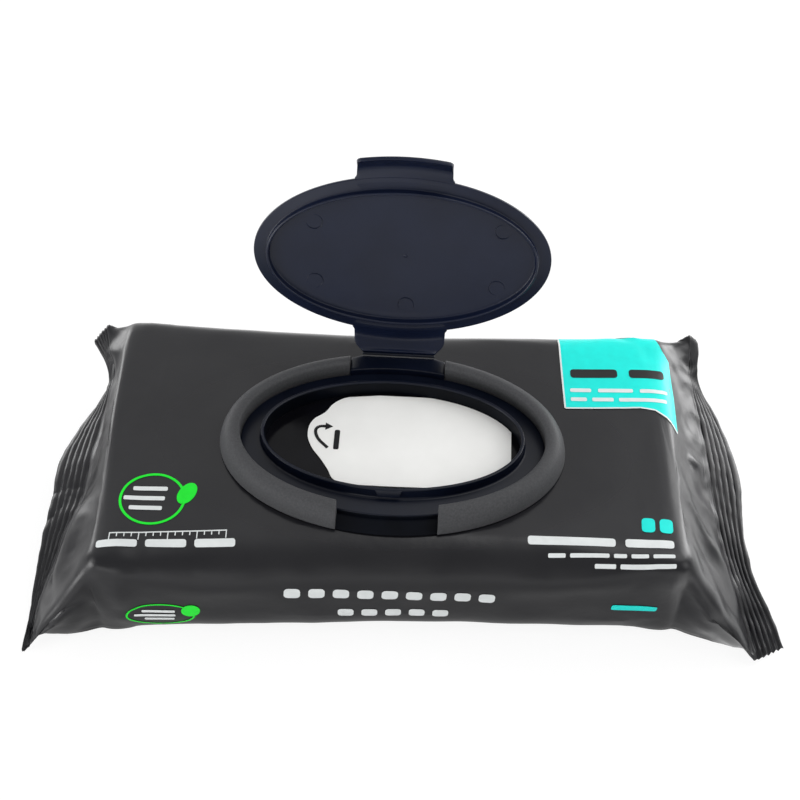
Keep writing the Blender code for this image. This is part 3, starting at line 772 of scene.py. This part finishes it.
# %% Outline tools
def rounded(corners, steps=4):
    """Round an outline's corners. Each corner is (across, up, radius) in mm."""
    outline = []
    for index, (across, up, radius) in enumerate(corners):
        here = Vector((across, up))
        if radius == 0:
            outline.append(here)
            continue
        before = (Vector(corners[index - 1][:2]) - here).normalized()
        after = (Vector(corners[(index + 1) % len(corners)][:2]) - here).normalized()
        half = before.angle(after) / 2
        centre = here + (before + after).normalized() * radius / sin(half)
        start = here + before * radius / tan(half) - centre
        end = here + after * radius / tan(half) - centre
        angle = start.angle(end)
        for step in range(steps + 1):
            share = step / steps
            turned = start * sin((1 - share) * angle) + end * sin(share * angle)
            outline.append(centre + turned / sin(angle))
    return outline


def smooth_run(points, steps):
    """Read a run of points as one smooth curve with this many steps between each pair."""
    run = [Vector(point) for point in points]
    run = [run[0] * 2 - run[1]] + run + [run[-1] * 2 - run[-2]]
    curve = []
    for a, b, c, d in zip(run, run[1:], run[2:], run[3:]):
        for step in range(steps):
            t = step / steps
            curve.append(0.5 * (2 * b + (c - a) * t + (2 * a - 5 * b + 4 * c - d) * t * t
                                + (3 * b - a - 3 * c + d) * t ** 3))
    return curve + [run[-2]]


print("a rounded corner has", len(rounded(((0, 0, 0), (1, 0, 0.2), (1, 1, 0)))) - 2, "points")

# %% [markdown]
# The frame and the lid are ovals at even distances from the oval opening. A turned ring that
# is stretched to an oval would be wider at its ends than at its sides. So each piece is made
# as by hand: a circle is added, stretched to the first oval, then extruded and resized from
# oval to oval.

# %% Oval tools
OVAL_STEPS = 200
print("each oval has", OVAL_STEPS, "points")


def oval(outwards, height, share=1.0):
    """Half width, half depth and level of one oval, from mm outwards of the opening."""
    return ((OPENING_X + outwards * MM) * share, (OPENING_Y + outwards * MM) * share,
            BASE_Z + height * MM)


def sweep_ovals(name, ovals):
    """Add a circle and extrude it from oval to oval. Open ends are filled."""
    bpy.ops.object.select_all(action="DESELECT")
    half_x, half_y, level = ovals[0]
    bpy.ops.mesh.primitive_circle_add(vertices=OVAL_STEPS, radius=1, location=(0, 0, level))
    piece = bpy.context.object
    piece.name = name
    piece.scale = (half_x, half_y, 1)
    settle(piece)
    bpy.ops.object.mode_set(mode="EDIT")
    bpy.ops.mesh.select_all(action="SELECT")
    for last, here in zip(ovals, ovals[1:]):
        rise = here[2] - last[2]
        bpy.ops.mesh.extrude_region_move(TRANSFORM_OT_translate={"value": (0, 0, rise)})
        bpy.ops.transform.resize(value=(here[0] / last[0], here[1] / last[1], 1),
                                 center_override=(0, 0, here[2]))
    bpy.ops.mesh.select_all(action="SELECT")
    bpy.ops.mesh.remove_doubles(threshold=MERGE)
    bpy.ops.mesh.select_all(action="SELECT")
    bpy.ops.mesh.fill_holes(sides=0)
    bpy.ops.mesh.select_all(action="SELECT")
    bpy.ops.mesh.normals_make_consistent(inside=False)
    bpy.ops.object.mode_set(mode="OBJECT")
    return piece


def oval_y(outwards, x):
    """How far from the middle an oval lies at a given x, both in metres."""
    half_x, half_y = OPENING_X + outwards, OPENING_Y + outwards
    return half_y * sqrt(max(0.0, 1 - (x / half_x) ** 2))


# %% [markdown]
# The frame's tray is the part inside the rim: the low wall round the opening and the
# channel that the lid's edge drops into. It could be cut out of a solid oval with Booleans,
# but one swept outline gives cleaner faces and an even wall. Its sizes are in mm.

# %% Tray
WALL = 1.1
WALL_HEIGHT = 5.6
FLOOR = 1.6                      # level of the channel's floor
RIM_INSIDE = 7.5                 # from the opening to the rim
tray_outline = rounded(((0, 0, 0), (0, WALL_HEIGHT, 0.35), (WALL, WALL_HEIGHT, 0.35),
                        (WALL, FLOOR, 0.8), (RIM_INSIDE, FLOOR, 0.4), (RIM_INSIDE, 0, 0),
                        (0, 0, 0)))
tray = sweep_ovals("base_tray", [oval(*point) for point in tray_outline])
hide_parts("lid_base")
wear(tray, "pack", inner_finish, 40)

# %% [markdown]
# Two deep places are always in shade: the wall's inner side, and the foot of the tray in
# the front notch with the film just in front of it. Each gets a thin near-black skin, which
# is painted shade. It could be a mask in the material, but a skin of its own keeps the
# painted shade's edge crisp.

# %% Painted shade skins
SKIN_PROUD = 0.1                 # how far a skin stands off the tray
SKIN_SUNK = 0.03
SKIN_EDGE = 0.5                  # the tray stays bare this far below the wall's top
NOTCH_SHADE_REACH = 6.2                # how far the notch's painted shade runs out over the film
NOTCH_SHADE_HALF = 15.25 * MM
wall_shade_outline = ((-SKIN_PROUD, 0.1), (-SKIN_PROUD, WALL_HEIGHT - SKIN_EDGE),
                  (SKIN_SUNK, WALL_HEIGHT - SKIN_EDGE), (SKIN_SUNK, 0.1), (-SKIN_PROUD, 0.1))
wall_shade_skin = sweep_ovals("wall_painted_shade", [oval(*point) for point in wall_shade_outline])
notch_shade_outline = ((RIM_INSIDE - SKIN_PROUD, 0.02), (RIM_INSIDE - SKIN_PROUD, FLOOR - 0.3),
                 (RIM_INSIDE + 0.25, FLOOR - 0.5), (RIM_INSIDE + 0.5, 0.2),
                 (RIM_INSIDE + NOTCH_SHADE_REACH, 0.1), (RIM_INSIDE + NOTCH_SHADE_REACH, 0.02),
                 (RIM_INSIDE - SKIN_PROUD, 0.02))
notch_shade_skin = sweep_ovals("notch_painted_shade", [oval(*point) for point in notch_shade_outline])
bpy.ops.object.mode_set(mode="EDIT")
for side in (1, -1):
    bpy.ops.mesh.select_all(action="SELECT")
    bpy.ops.mesh.bisect(plane_co=(side * NOTCH_SHADE_HALF, 0, 0), plane_no=(side, 0, 0),
                        use_fill=True, clear_outer=True)
bpy.ops.mesh.select_all(action="SELECT")
bpy.ops.mesh.bisect(plane_co=(0, 0, 0), plane_no=(0, 1, 0), clear_outer=True)
bpy.ops.object.mode_set(mode="OBJECT")
# Both skins are painted shade, near black.
for skin in (wall_shade_skin, notch_shade_skin):
    wear(skin, "pack", painted_shade_finish, 40)

# %% [markdown]
# The rim is a soft round moulding in two arcs, with gaps where the lid's tab and its neck
# pass through. Each arc could be swept along part of the oval. It is simpler to sweep the
# whole rim, like the tray, and to cut it with the bisect operator on each side.

# %% Rim
RIM_WIDTH = 6.5
RIM_HEIGHT = 7.0
RIM_STEP = 3.0                   # a point part of the way up its inner side
NOTCH_HALF = 15.3 * MM
RIM_PROFILE = ((0.00, 0.88), (0.06, 0.96), (0.18, 1.00), (0.36, 0.985), (0.54, 0.915),
               (0.70, 0.79), (0.83, 0.61), (0.93, 0.37), (0.98, 0.16), (1.00, 0.00))
inner_edge = RIM_INSIDE + 0.02
rim_outline = [Vector((inner_edge, 0.0)), Vector((inner_edge, RIM_STEP))]
rim_outline += [Vector((inner_edge + RIM_WIDTH * point.x, RIM_HEIGHT * point.y))
                for point in smooth_run(RIM_PROFILE, 3)]
rim_outline += [Vector((inner_edge, 0.0))]
arcs = []
for side in (1, -1):
    arc = sweep_ovals("rim_arc", [oval(*point) for point in rim_outline])
    bpy.ops.object.mode_set(mode="EDIT")
    bpy.ops.mesh.select_all(action="SELECT")
    bpy.ops.mesh.bisect(plane_co=(side * NOTCH_HALF, 0, 0), plane_no=(side, 0, 0),
                        use_fill=True, clear_inner=True)
    bpy.ops.object.mode_set(mode="OBJECT")
    round_edges(arc, 0.25 * MM, 2, 55)
    arcs.append(arc)
rim = join("base_rim", arcs)
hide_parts("lid_base")
wear(rim, "pack", rim_finish, 40)

# %% [markdown]
# The hinge panel fills the back notch between the rim's ends, and slopes to the line on
# which the lid turns. It could be a bent plane, but its front follows the oval and its back
# the hinge. So a grid is laid between the two lines and Solidify gives it its thickness.

# %% Hinge panel
PANEL_COLUMNS = 24
PANEL_ROWS = 6
HINGE_HALF = 11.7 * MM
HINGE_CLEAR = 0.25 * MM
PANEL_DRAW = 1.4 * MM            # how far its back corners are drawn in
PANEL_FRONT = 3.8 * MM           # level of its front edge, above the film
PANEL_BACK = 2.6 * MM            # and of its back edge, clear of the shut lid
PANEL_THICKNESS = 3.0 * MM


def panel_back(x):
    """The panel's back edge: straight along the hinge, then drawn in to the rim's ends."""
    past = max(0.0, abs(x) - HINGE_HALF) / (NOTCH_HALF - HINGE_HALF)
    return hinge.y - HINGE_CLEAR - PANEL_DRAW * past


bpy.ops.object.select_all(action="DESELECT")
bpy.ops.mesh.primitive_grid_add(x_subdivisions=PANEL_COLUMNS, y_subdivisions=PANEL_ROWS, size=2)
panel = bpy.context.object
for vertex in panel.data.vertices:
    across, along_depth = vertex.co.x, (vertex.co.y + 1) / 2
    x = across * (NOTCH_HALF - 0.1 * MM)
    front = oval_y((RIM_INSIDE - 0.1) * MM, x)
    y = front + (panel_back(x) - front) * along_depth
    z = BASE_Z + PANEL_FRONT + (PANEL_BACK - PANEL_FRONT) * along_depth
    vertex.co = (x, y, z)
shell = panel.modifiers.new("thickness", "SOLIDIFY")
shell.thickness = PANEL_THICKNESS
shell.offset = -1
apply_all(panel)
round_edges(panel, 0.35 * MM, 3, 50)
print("hinge panel", len(panel.data.polygons), "faces")

# %% [markdown]
# The catch nib is a small wedge on the front of the opening's wall, which the lid's rib
# snaps over. It could be pulled out of the wall's own faces, but then the wall would need
# more of them. A cube with its corners moved is enough for so small a form.

# %% Catch nib
NIB_HALF = 4.05 * MM
NIB_TOP = WALL_HEIGHT * MM - 0.2 * MM
NIB_DROP = 2.4 * MM
NIB_REACH = 0.9 * MM
NIB_ROOT = 0.6 * MM              # how far it is rooted in the wall
NIB_NARROW = 0.78                # width of its foot, as a share of its top
wall_front = -oval_y(WALL * MM, 0)
nib_middle = Vector((0, wall_front + (NIB_ROOT - NIB_REACH) / 2, BASE_Z + NIB_TOP - NIB_DROP / 2))
bpy.ops.object.select_all(action="DESELECT")
bpy.ops.mesh.primitive_cube_add(size=1, location=nib_middle)
nib = bpy.context.object
nib.scale = (2 * NIB_HALF, NIB_REACH + NIB_ROOT, NIB_DROP)
settle(nib)
for vertex in nib.data.vertices:
    if vertex.co.z < nib_middle.z:
        vertex.co.x *= NIB_NARROW
    elif vertex.co.y < wall_front:
        vertex.co.y += NIB_REACH - 0.1 * MM
round_edges(nib, 0.15 * MM, 3, 30)
panel = join("hinge_panel", [nib, panel])
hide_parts("lid_base")
wear(panel, "pack", inner_finish, 40)

# %% [markdown]
# The lid's underside faces the viewer, with the rib that closes round the opening's wall
# and a flat flange outside it. It could be modelled open, as it stands, but its ovals would
# then be tilted. So it is modelled shut, where they line up with the frame's, and turned
# open about the hinge at the end. Its sizes are in mm.

# %% Lid plate
FLANGE = 5.6                     # level of the flange's underside
SKIN = 1.2                       # the lid's thickness
CROWN = 7.8                      # level of its middle
RIB_IN = 1.9                     # from the opening to the rib's inner side
RIB_OUT = 2.8
RIB_REACH = 2.4                  # how far the rib hangs below the flange
LID_EDGE = 6.9                   # from the opening to the lid's edge
rise = CROWN - FLANGE - SKIN


def dome(height, shares):
    """Ovals on the crown's shallow curve, each a share of the way out to the rib."""
    return [oval(RIB_IN, height - rise * share ** 2, share) for share in shares]


OUT_STEPS = (0.04, 0.2, 0.36, 0.52, 0.66, 0.78, 0.88, 0.95)
lid_outline = rounded(((RIB_IN - 0.9, FLANGE + 0.05, 0), (RIB_IN, FLANGE + 0.02, 0.4),
                       (RIB_IN, FLANGE - RIB_REACH, 0.42), (RIB_OUT, FLANGE - RIB_REACH, 0.42),
                       (RIB_OUT, FLANGE, 0.4), (LID_EDGE, FLANGE, 0.3),
                       (LID_EDGE, FLANGE + SKIN, 0.45), (RIB_OUT, FLANGE + SKIN, 0)))
plate_ovals = dome(CROWN - SKIN, OUT_STEPS)
plate_ovals += [oval(*point) for point in lid_outline]
plate_ovals += dome(CROWN, (1.0,) + OUT_STEPS[::-1])
lid = sweep_ovals("lid_plate", plate_ovals)
print("lid plate", len(lid.data.polygons), "faces")

# %% [markdown]
# The tab and the neck are bent sheets that follow the rim's curve, and they widen a little
# where they leave the lid, as moulded corners do. They could be bent from flat sheets, but
# the curve is known row by row. So each is a grid with every row set in its place, given
# its thickness by Solidify and rounded by Bevel. The sizes are in mm.

# %% Bent sheets
TAB_HALF = 14.7
FLARE = 1.5                      # radius of the corner between tab and lid
SHEET_COLUMNS = 20
SHEET_SKIN = SKIN * 0.95 * MM
print("a sheet is", SHEET_COLUMNS, "columns wide and", round(SHEET_SKIN / MM, 2), "mm thick")


def sheet(name, side, rows):
    """A bent sheet from rows of (outwards, height, half width, straight), all in mm."""
    bpy.ops.object.select_all(action="DESELECT")
    bpy.ops.mesh.primitive_grid_add(x_subdivisions=SHEET_COLUMNS, y_subdivisions=len(rows) - 1,
                                    size=2)
    piece = bpy.context.object
    piece.name = name
    for vertex in piece.data.vertices:
        row = round((vertex.co.y + 1) / 2 * (len(rows) - 1))
        outwards, height, half, straight = rows[row]
        x = vertex.co.x * half * MM
        y = oval_y(outwards * MM, x)
        y += (OPENING_Y + outwards * MM - y) * straight
        vertex.co = (x, side * y, BASE_Z + height * MM)
    select_only(piece)
    bpy.ops.object.mode_set(mode="EDIT")
    bpy.ops.mesh.select_all(action="SELECT")
    bpy.ops.mesh.normals_make_consistent(inside=False)
    if side < 0:
        bpy.ops.mesh.flip_normals()
    bpy.ops.object.mode_set(mode="OBJECT")
    upward_faces = sum(polygon.normal.z for polygon in piece.data.polygons)
    shell = piece.modifiers.new("thickness", "SOLIDIFY")
    shell.thickness = SHEET_SKIN
    shell.offset = -1 if upward_faces > 0 else 1
    apply_all(piece)
    round_edges(piece, 0.28 * MM, 3, 50)
    face_outwards(piece)
    return piece


def flared(outwards, half, corner_at=None, corner=0.0):
    """Half width with a concave corner at the lid's edge and a round one at the tip."""
    past = outwards - LID_EDGE
    if 0 <= past < FLARE:
        half += FLARE - sqrt(FLARE ** 2 - (FLARE - past) ** 2)
    if corner_at is not None and outwards > corner_at - corner:
        half -= corner - sqrt(max(0.0, corner ** 2 - (outwards - corner_at + corner) ** 2))
    return half


# %% [markdown]
# The tab ends in a short lip over the notch, and the neck narrows down to the hinge. Both
# could stay separate and only touch the lid, but a seam would show. A Boolean union makes
# one skin of all three.

# %% Tab and neck
TAB_END = 15.3
TAB_FOOT = 2.8
TAB_CORNER = 1.2
NECK_END = 14.05
NECK_HALF = 11.7
NECK_FOOT = 3.6
NECK_NARROWS = 11.6              # from here the neck narrows and its edge grows straight
lid_start = [(4.9, 6.72), (6.2, 6.78)]
ridge = [(RIM_INSIDE + RIM_WIDTH * across, RIM_HEIGHT * up)
         for across, up in ((0.17, 1.0), (0.42, 0.98), (0.64, 0.89), (0.86, 0.72))]
tab_line = smooth_run(lid_start + ridge + [(TAB_END, TAB_FOOT)], 5)
tab_rows = [(point.x, point.y, flared(point.x, TAB_HALF, TAB_END, TAB_CORNER), 0.0)
            for point in tab_line]
tab = sheet("lid_tab", -1, tab_rows)
neck_line = smooth_run(lid_start + ridge[:3] + [(13.3, 5.0), (NECK_END, NECK_FOOT)], 5)
neck_rows = []
for point in neck_line:
    past = max(0.0, point.x - NECK_NARROWS) / (NECK_END - NECK_NARROWS)
    half = flared(point.x, TAB_HALF) + (NECK_HALF - TAB_HALF) * past ** 2
    neck_rows.append((point.x, point.y, half, past))
neck = sheet("lid_neck", 1, neck_rows)
for patch in (tab, neck):
    union = lid.modifiers.new("union", "BOOLEAN")
    union.operation = "UNION"
    union.solver = "EXACT"
    union.object = patch
    apply_all(lid)
    bpy.data.objects.remove(patch, do_unlink=True)
face_outwards(lid)
print("lid with tab and neck", len(lid.data.polygons), "faces")

# %% [markdown]
# Moulding leaves faint marks on the underside: five rings from the pins that pushed the
# lid out of its mould, and a spot in the middle where the plastic flowed in. A bump in the
# material could show them, but real rings, half sunk in the surface, keep them in the mesh.

# %% Mould marks
PIN_RADIUS = 2.5 * MM
RING_RADIUS = 0.13 * MM
GATE_RADIUS = 0.7 * MM
GATE_FLATNESS = 0.3
PINS = ((-27.7, -11.0), (31.0, -10.6), (-27.5, 10.2), (30.2, 9.8), (1.6, 17.6))
marks = []
for x, y in PINS:
    reach = sqrt((x * MM / (OPENING_X + RIB_IN * MM)) ** 2
                 + (y * MM / (OPENING_Y + RIB_IN * MM)) ** 2)
    level = BASE_Z + (CROWN - SKIN - rise * reach ** 2) * MM
    bpy.ops.object.select_all(action="DESELECT")
    bpy.ops.mesh.primitive_torus_add(location=(x * MM, y * MM, level), major_segments=40,
                                     minor_segments=8, major_radius=PIN_RADIUS,
                                     minor_radius=RING_RADIUS)
    marks.append(bpy.context.object)
    settle(marks[-1])
bpy.ops.object.select_all(action="DESELECT")
bpy.ops.mesh.primitive_uv_sphere_add(segments=20, ring_count=12, radius=GATE_RADIUS,
                                     location=(1 * MM, 0, BASE_Z + (CROWN - SKIN) * MM))
marks.append(bpy.context.object)
marks[-1].scale.z = GATE_FLATNESS
settle(marks[-1])
print(len(marks), "mould marks")

# %% [markdown]
# The shut lid now turns open about the hinge. It could be turned as an object, but its
# place has to be in its mesh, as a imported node's is. So the mesh itself is turned.

# %% The lid, opened
lid = join("lid_shell", marks + [lid])
lid.data.transform(Matrix.Translation(hinge) @ Matrix.Rotation(-OPEN_ANGLE, 4, "X")
                   @ Matrix.Translation(-hinge))
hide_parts("flip_lid")
wear(lid, "lid", lid_finish, 40)

# %% [markdown]
# The living hinge is a thin web of the same plastic. It could be a strip that bends with the
# lid, but it is under a millimetre wide. A slim rod on the turning line looks right at every
# angle of the lid.

# %% Living hinge
WEB_RADIUS = 0.45 * MM
bpy.ops.object.select_all(action="DESELECT")
bpy.ops.mesh.primitive_cylinder_add(vertices=24, radius=WEB_RADIUS, depth=2 * HINGE_HALF,
                                    location=hinge, rotation=(0, pi / 2, 0))
web = bpy.context.object
web.name = "hinge_web"
settle(web)
round_edges(web, 0.2 * MM, 3, 50)
wear(web, "pack", inner_finish, 40)

# %% [markdown]
# The print lies on the film as thin flat shapes: fields, rings, dots and bars. It could be an
# image, but that blurs and needs a file. Shapes stay sharp. They are drawn flat, in mm, in
# the pack's own frame.

# %% Print shapes
BLUNT = 0.3                      # a bar's corner radius, as a share of its height


def bar(x0, y0, x1, y1, height):
    """A straight bar with round corners, from one end of its middle line to the other."""
    run = Vector((x1 - x0, y1 - y0))
    length = run.length
    run.normalize()
    across = Vector((-run.y, run.x))
    radius = min(height, length) * BLUNT
    corners = ((0, -height / 2, radius), (length, -height / 2, radius),
               (length, height / 2, radius), (0, height / 2, radius))
    start = Vector((x0, y0))
    return [start + run * point.x + across * point.y for point in rounded(corners, 3)]


def bar_row(x0, y0, x1, y1, height, lengths):
    """Bars in one row, each with its share of the row's length, and gaps of one share."""
    total = sum(lengths) + len(lengths) - 1
    shapes = []
    reached = 0
    start, run = Vector((x0, y0)), Vector((x1 - x0, y1 - y0)) / total
    for length in lengths:
        a, b = start + run * reached, start + run * (reached + length)
        shapes.append(bar(a.x, a.y, b.x, b.y, height))
        reached += length + 1
    return shapes


def ring_shapes(x, y, half_x, half_y, line, steps=72):
    """An oval ring as short quads."""
    def edge_point(inset, angle):
        return Vector((x + (half_x - inset) * cos(angle), y + (half_y - inset) * sin(angle)))

    shapes = []
    for step in range(steps):
        a, b = 2 * pi * step / steps, 2 * pi * (step + 1) / steps
        shapes.append([edge_point(0, a), edge_point(0, b), edge_point(line, b),
                       edge_point(line, a)])
    return shapes


def disc(x, y, half_x, half_y, turned, steps=32):
    """A plain oval dot, turned by so many degrees."""
    spin = Matrix.Rotation(radians(turned), 2)
    dot = [Vector((half_x * cos(2 * pi * step / steps), half_y * sin(2 * pi * step / steps)))
           for step in range(steps)]
    return [Vector((x, y)) + spin @ point for point in dot]


print("one bar has", len(bar(0, 0, 9, 0, 1)), "corners")

# %% [markdown]
# Each ink is one mesh. Its shapes could be raised off the film by guesswork, but then some
# would hover and some would sink. So they are cut into small cells and pressed onto the film
# with a Shrinkwrap, from above or from the front, and get a thin thickness of their own.

# %% Press the print on
INK_THICKNESS = 0.06 * MM
FAR_OFF = 100                    # in mm, well clear of the film before the pressing
print("ink is", round(INK_THICKNESS / MM, 2), "mm thick")


def flat_cells(name, shapes, cell):
    """A flat piece of these shapes, in mm, cut into small cells."""
    flat = bmesh.new()
    for shape in shapes:
        flat.faces.new([flat.verts.new((point.x, point.y, 0)) for point in shape])
    bmesh.ops.remove_doubles(flat, verts=flat.verts, dist=0.001)
    xs = [vertex.co.x for vertex in flat.verts]
    ys = [vertex.co.y for vertex in flat.verts]
    for axis, values in ((Vector((1, 0, 0)), xs), (Vector((0, 1, 0)), ys)):
        for step in range(int(min(values) / cell), int(max(values) / cell) + 1):
            bmesh.ops.bisect_plane(flat, geom=flat.verts[:] + flat.edges[:] + flat.faces[:],
                                   plane_co=axis * step * cell, plane_no=axis)
    bmesh.ops.triangulate(flat, faces=[face for face in flat.faces if len(face.verts) > 4])
    mesh = bpy.data.meshes.new(name)
    flat.to_mesh(mesh)
    flat.free()
    piece = bpy.data.objects.new(name, mesh)
    bpy.context.scene.collection.objects.link(piece)
    return piece


def press_on(name, shapes, view, material, target, cell=1.5, lift=0.12):
    """Lay flat shapes (mm) on a piece. view is TOP for (x, y) or FRONT for (x, z)."""
    piece = flat_cells(name, shapes, cell)
    if view == "FRONT":
        piece.data.transform(Matrix.Translation((0, -FAR_OFF, 0))
                             @ Matrix.Rotation(pi / 2, 4, "X"))
    else:
        piece.data.transform(Matrix.Translation((0, 0, FAR_OFF)))
    piece.data.transform(Matrix.Scale(MM, 4))
    if target is film:
        piece.data.transform(pack_turn)
    wrap = piece.modifiers.new("press", "SHRINKWRAP")
    wrap.target = target
    wrap.wrap_method = "PROJECT"
    wrap.offset = lift * MM
    wrap.use_negative_direction = view == "TOP"
    wrap.use_positive_direction = view == "FRONT"
    wrap.use_project_z = view == "TOP"
    wrap.use_project_y = view == "FRONT"
    apply_all(piece)
    towards = Vector((0, 0, 1)) if view == "TOP" else Vector((0, -1, 0))
    facing = sum(polygon.normal.dot(towards) for polygon in piece.data.polygons)
    if facing < 0:
        piece.data.flip_normals()
    shell = piece.modifiers.new("thickness", "SOLIDIFY")
    shell.thickness = INK_THICKNESS
    shell.offset = 1
    apply_all(piece)
    wear(piece, "pack", material, 60)


# %% [markdown]
# The white print is rows of bars, on the top and on the front, and a measuring line with
# ticks over one of the rows. The line's bars could be placed one by one, but ticks at even
# steps are a loop.

# %% White print
white_top = bar_row(-87.0, -39.8, -46.0, -37.6, 2.6, (5, 5, 5))
white_top += [bar(-83.6, -35.9, -48.7, -33.6, 0.4)]
TICKS = 16
LONG_TICK_EVERY = 4
for tick in range(TICKS + 1):
    share = tick / TICKS
    x, y = -83.4 + 34.5 * share, -35.9 + 2.3 * share
    length = 2.6 if tick % LONG_TICK_EVERY == 0 else 1.4
    white_top += [bar(x, y, x, y - length, 0.32)]
white_top += bar_row(-78.5, -19.0, -68.0, -19.0, 1.5, (5,))
white_top += bar_row(-81.0, -22.6, -68.5, -22.6, 1.5, (7,))
white_top += bar_row(-79.0, -26.2, -69.0, -26.2, 1.5, (6,))
white_top += bar_row(41.0, -34.9, 84.6, -35.6, 2.8, (9, 5))
white_top += bar_row(47.0, -39.2, 84.6, -39.6, 1.1, (4, 9, 3, 4, 5))
white_top += bar_row(60.8, -41.9, 84.9, -42.2, 1.0, (5, 13))
press_on("print_white_top", white_top, "TOP", white_ink, film)
white_front = bar_row(-33.6, 24.0, 29.9, 21.0, 4.4, (2,) * 9)
white_front += bar_row(-17.6, 13.2, 16.1, 12.6, 3.6, (2,) * 5)
white_front += bar_row(-77.0, 14.6, -67.0, 14.2, 1.2, (5,))
white_front += bar_row(-79.5, 12.4, -67.0, 12.0, 1.2, (7,))
white_front += bar_row(-76.5, 10.2, -67.5, 9.9, 1.2, (6,))
press_on("print_white_front", white_front, "FRONT", white_ink, film)

# %% [markdown]
# Two green marks, one on the top and one on the front, are each a ring with a dot on it. A
# torus would stand proud of the film, so each ring is flat, of short quads.

# %% Green print
press_on("print_green_top", ring_shapes(-72.3, -22.8, 10.1, 9.6, 0.8)
         + [disc(-62.0, -20.5, 2.6, 4.2, -25)], "TOP", green_ink, film)
press_on("print_green_front", ring_shapes(-71.5, 12.2, 10.5, 6.2, 0.6)
         + [disc(-62.2, 14.5, 2.8, 3.2, -25)], "FRONT", green_ink, film)

# %% [markdown]
# A mint panel covers the top's right back corner and runs down over the edge, with a white
# border and bars in white and black on it. It could be a second material on the film, but
# the film's faces don't follow its edge. The bars lie a little higher than the panel.

# %% Mint print
PANEL_LIFT = 0.22
MINT_PANEL = ((54.3, 49.0), (54.7, 30.0), (55.0, 16.8), (64.0, 17.0), (72.5, 17.3),
              (79.0, 17.5), (83.8, 16.7), (87.4, 14.2), (90.9, 10.4), (91.0, 25.3),
              (90.5, 39.3), (88.5, 43.0), (86.6, 49.0))
mint_top = [[Vector(point) for point in MINT_PANEL],
            bar(75.5, -28.6, 79.5, -28.8, 5.2), bar(80.9, -28.8, 84.9, -29.0, 5.2)]
press_on("print_mint_top", mint_top, "TOP", mint_ink, film)
press_on("print_mint_front", bar_row(65.6, 17.0, 79.7, 15.4, 2.4, (4,)), "FRONT", mint_ink,
         film)
border = [bar(a[0], a[1], b[0], b[1], 0.55) for a, b in zip(MINT_PANEL[:9], MINT_PANEL[1:9])]
border += bar_row(57.0, 24.4, 88.5, 24.6, 1.5, (3, 5, 4))
border += bar_row(57.0, 20.6, 88.0, 20.8, 1.5, (3, 4, 9))
press_on("print_panel_lines", border, "TOP", white_ink, film, lift=PANEL_LIFT)
press_on("print_panel_bar", bar_row(57.4, 31.5, 88.0, 32.0, 3.6, (4, 3)), "TOP", black_ink,
         film, lift=PANEL_LIFT)

# %% [markdown]
# Inside the opening a glossy oval of film is the window that the label seals. Its gloss is
# the film's own, and its darker colour is painted shade for the deep opening. It could be a
# mask in the film's material, but its edge is hidden under the wall anyway. So it is pressed
# on like the print, with larger cells.

# %% Window
WINDOW_GAP = 0.15
window = disc(0, 0, OPENING_X / MM - WINDOW_GAP, OPENING_Y / MM - WINDOW_GAP, 0, 120)
window = [Matrix.Rotation(-PACK_TURN, 2) @ point for point in window]
press_on("painted_shade_window", [window], "TOP", window_shade_finish, film, 3.0, 0.05)

# %% [markdown]
# The peel label is cut film that lies flat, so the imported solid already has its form. It
# could be replaced by a finer mesh, but there is nothing to add. It takes the label finish,
# and the tab's curved arrow and one plain bar are printed on it.

# %% Label and its arrow
ARROW_LINE = 0.5                 # half the arrow's line width, in mm
label = frame["nodes"]["peel_label"]
label.data.materials.clear()
label.data.materials.append(label_finish)
arrow_line = smooth_run([(-20.1, -2.7), (-23.3, 0.7), (-24.4, 3.9), (-23.4, 5.6),
                         (-21.2, 5.9)], 4)
arrow = []
for a, b in zip(arrow_line, arrow_line[1:]):
    run = (b - a).normalized()
    across = Vector((-run.y, run.x)) * ARROW_LINE
    arrow.append([a - across, b - across, b + across, a + across])
arrow.append([Vector((-21.4, 7.3)), Vector((-21.4, 4.4)), Vector((-19.0, 5.9))])
arrow += bar_row(-17.5, -3.2, -17.5, 4.6, 1.7, (4,))
press_on("print_arrow", arrow, "TOP", black_ink, label, 1.0, 0.04)
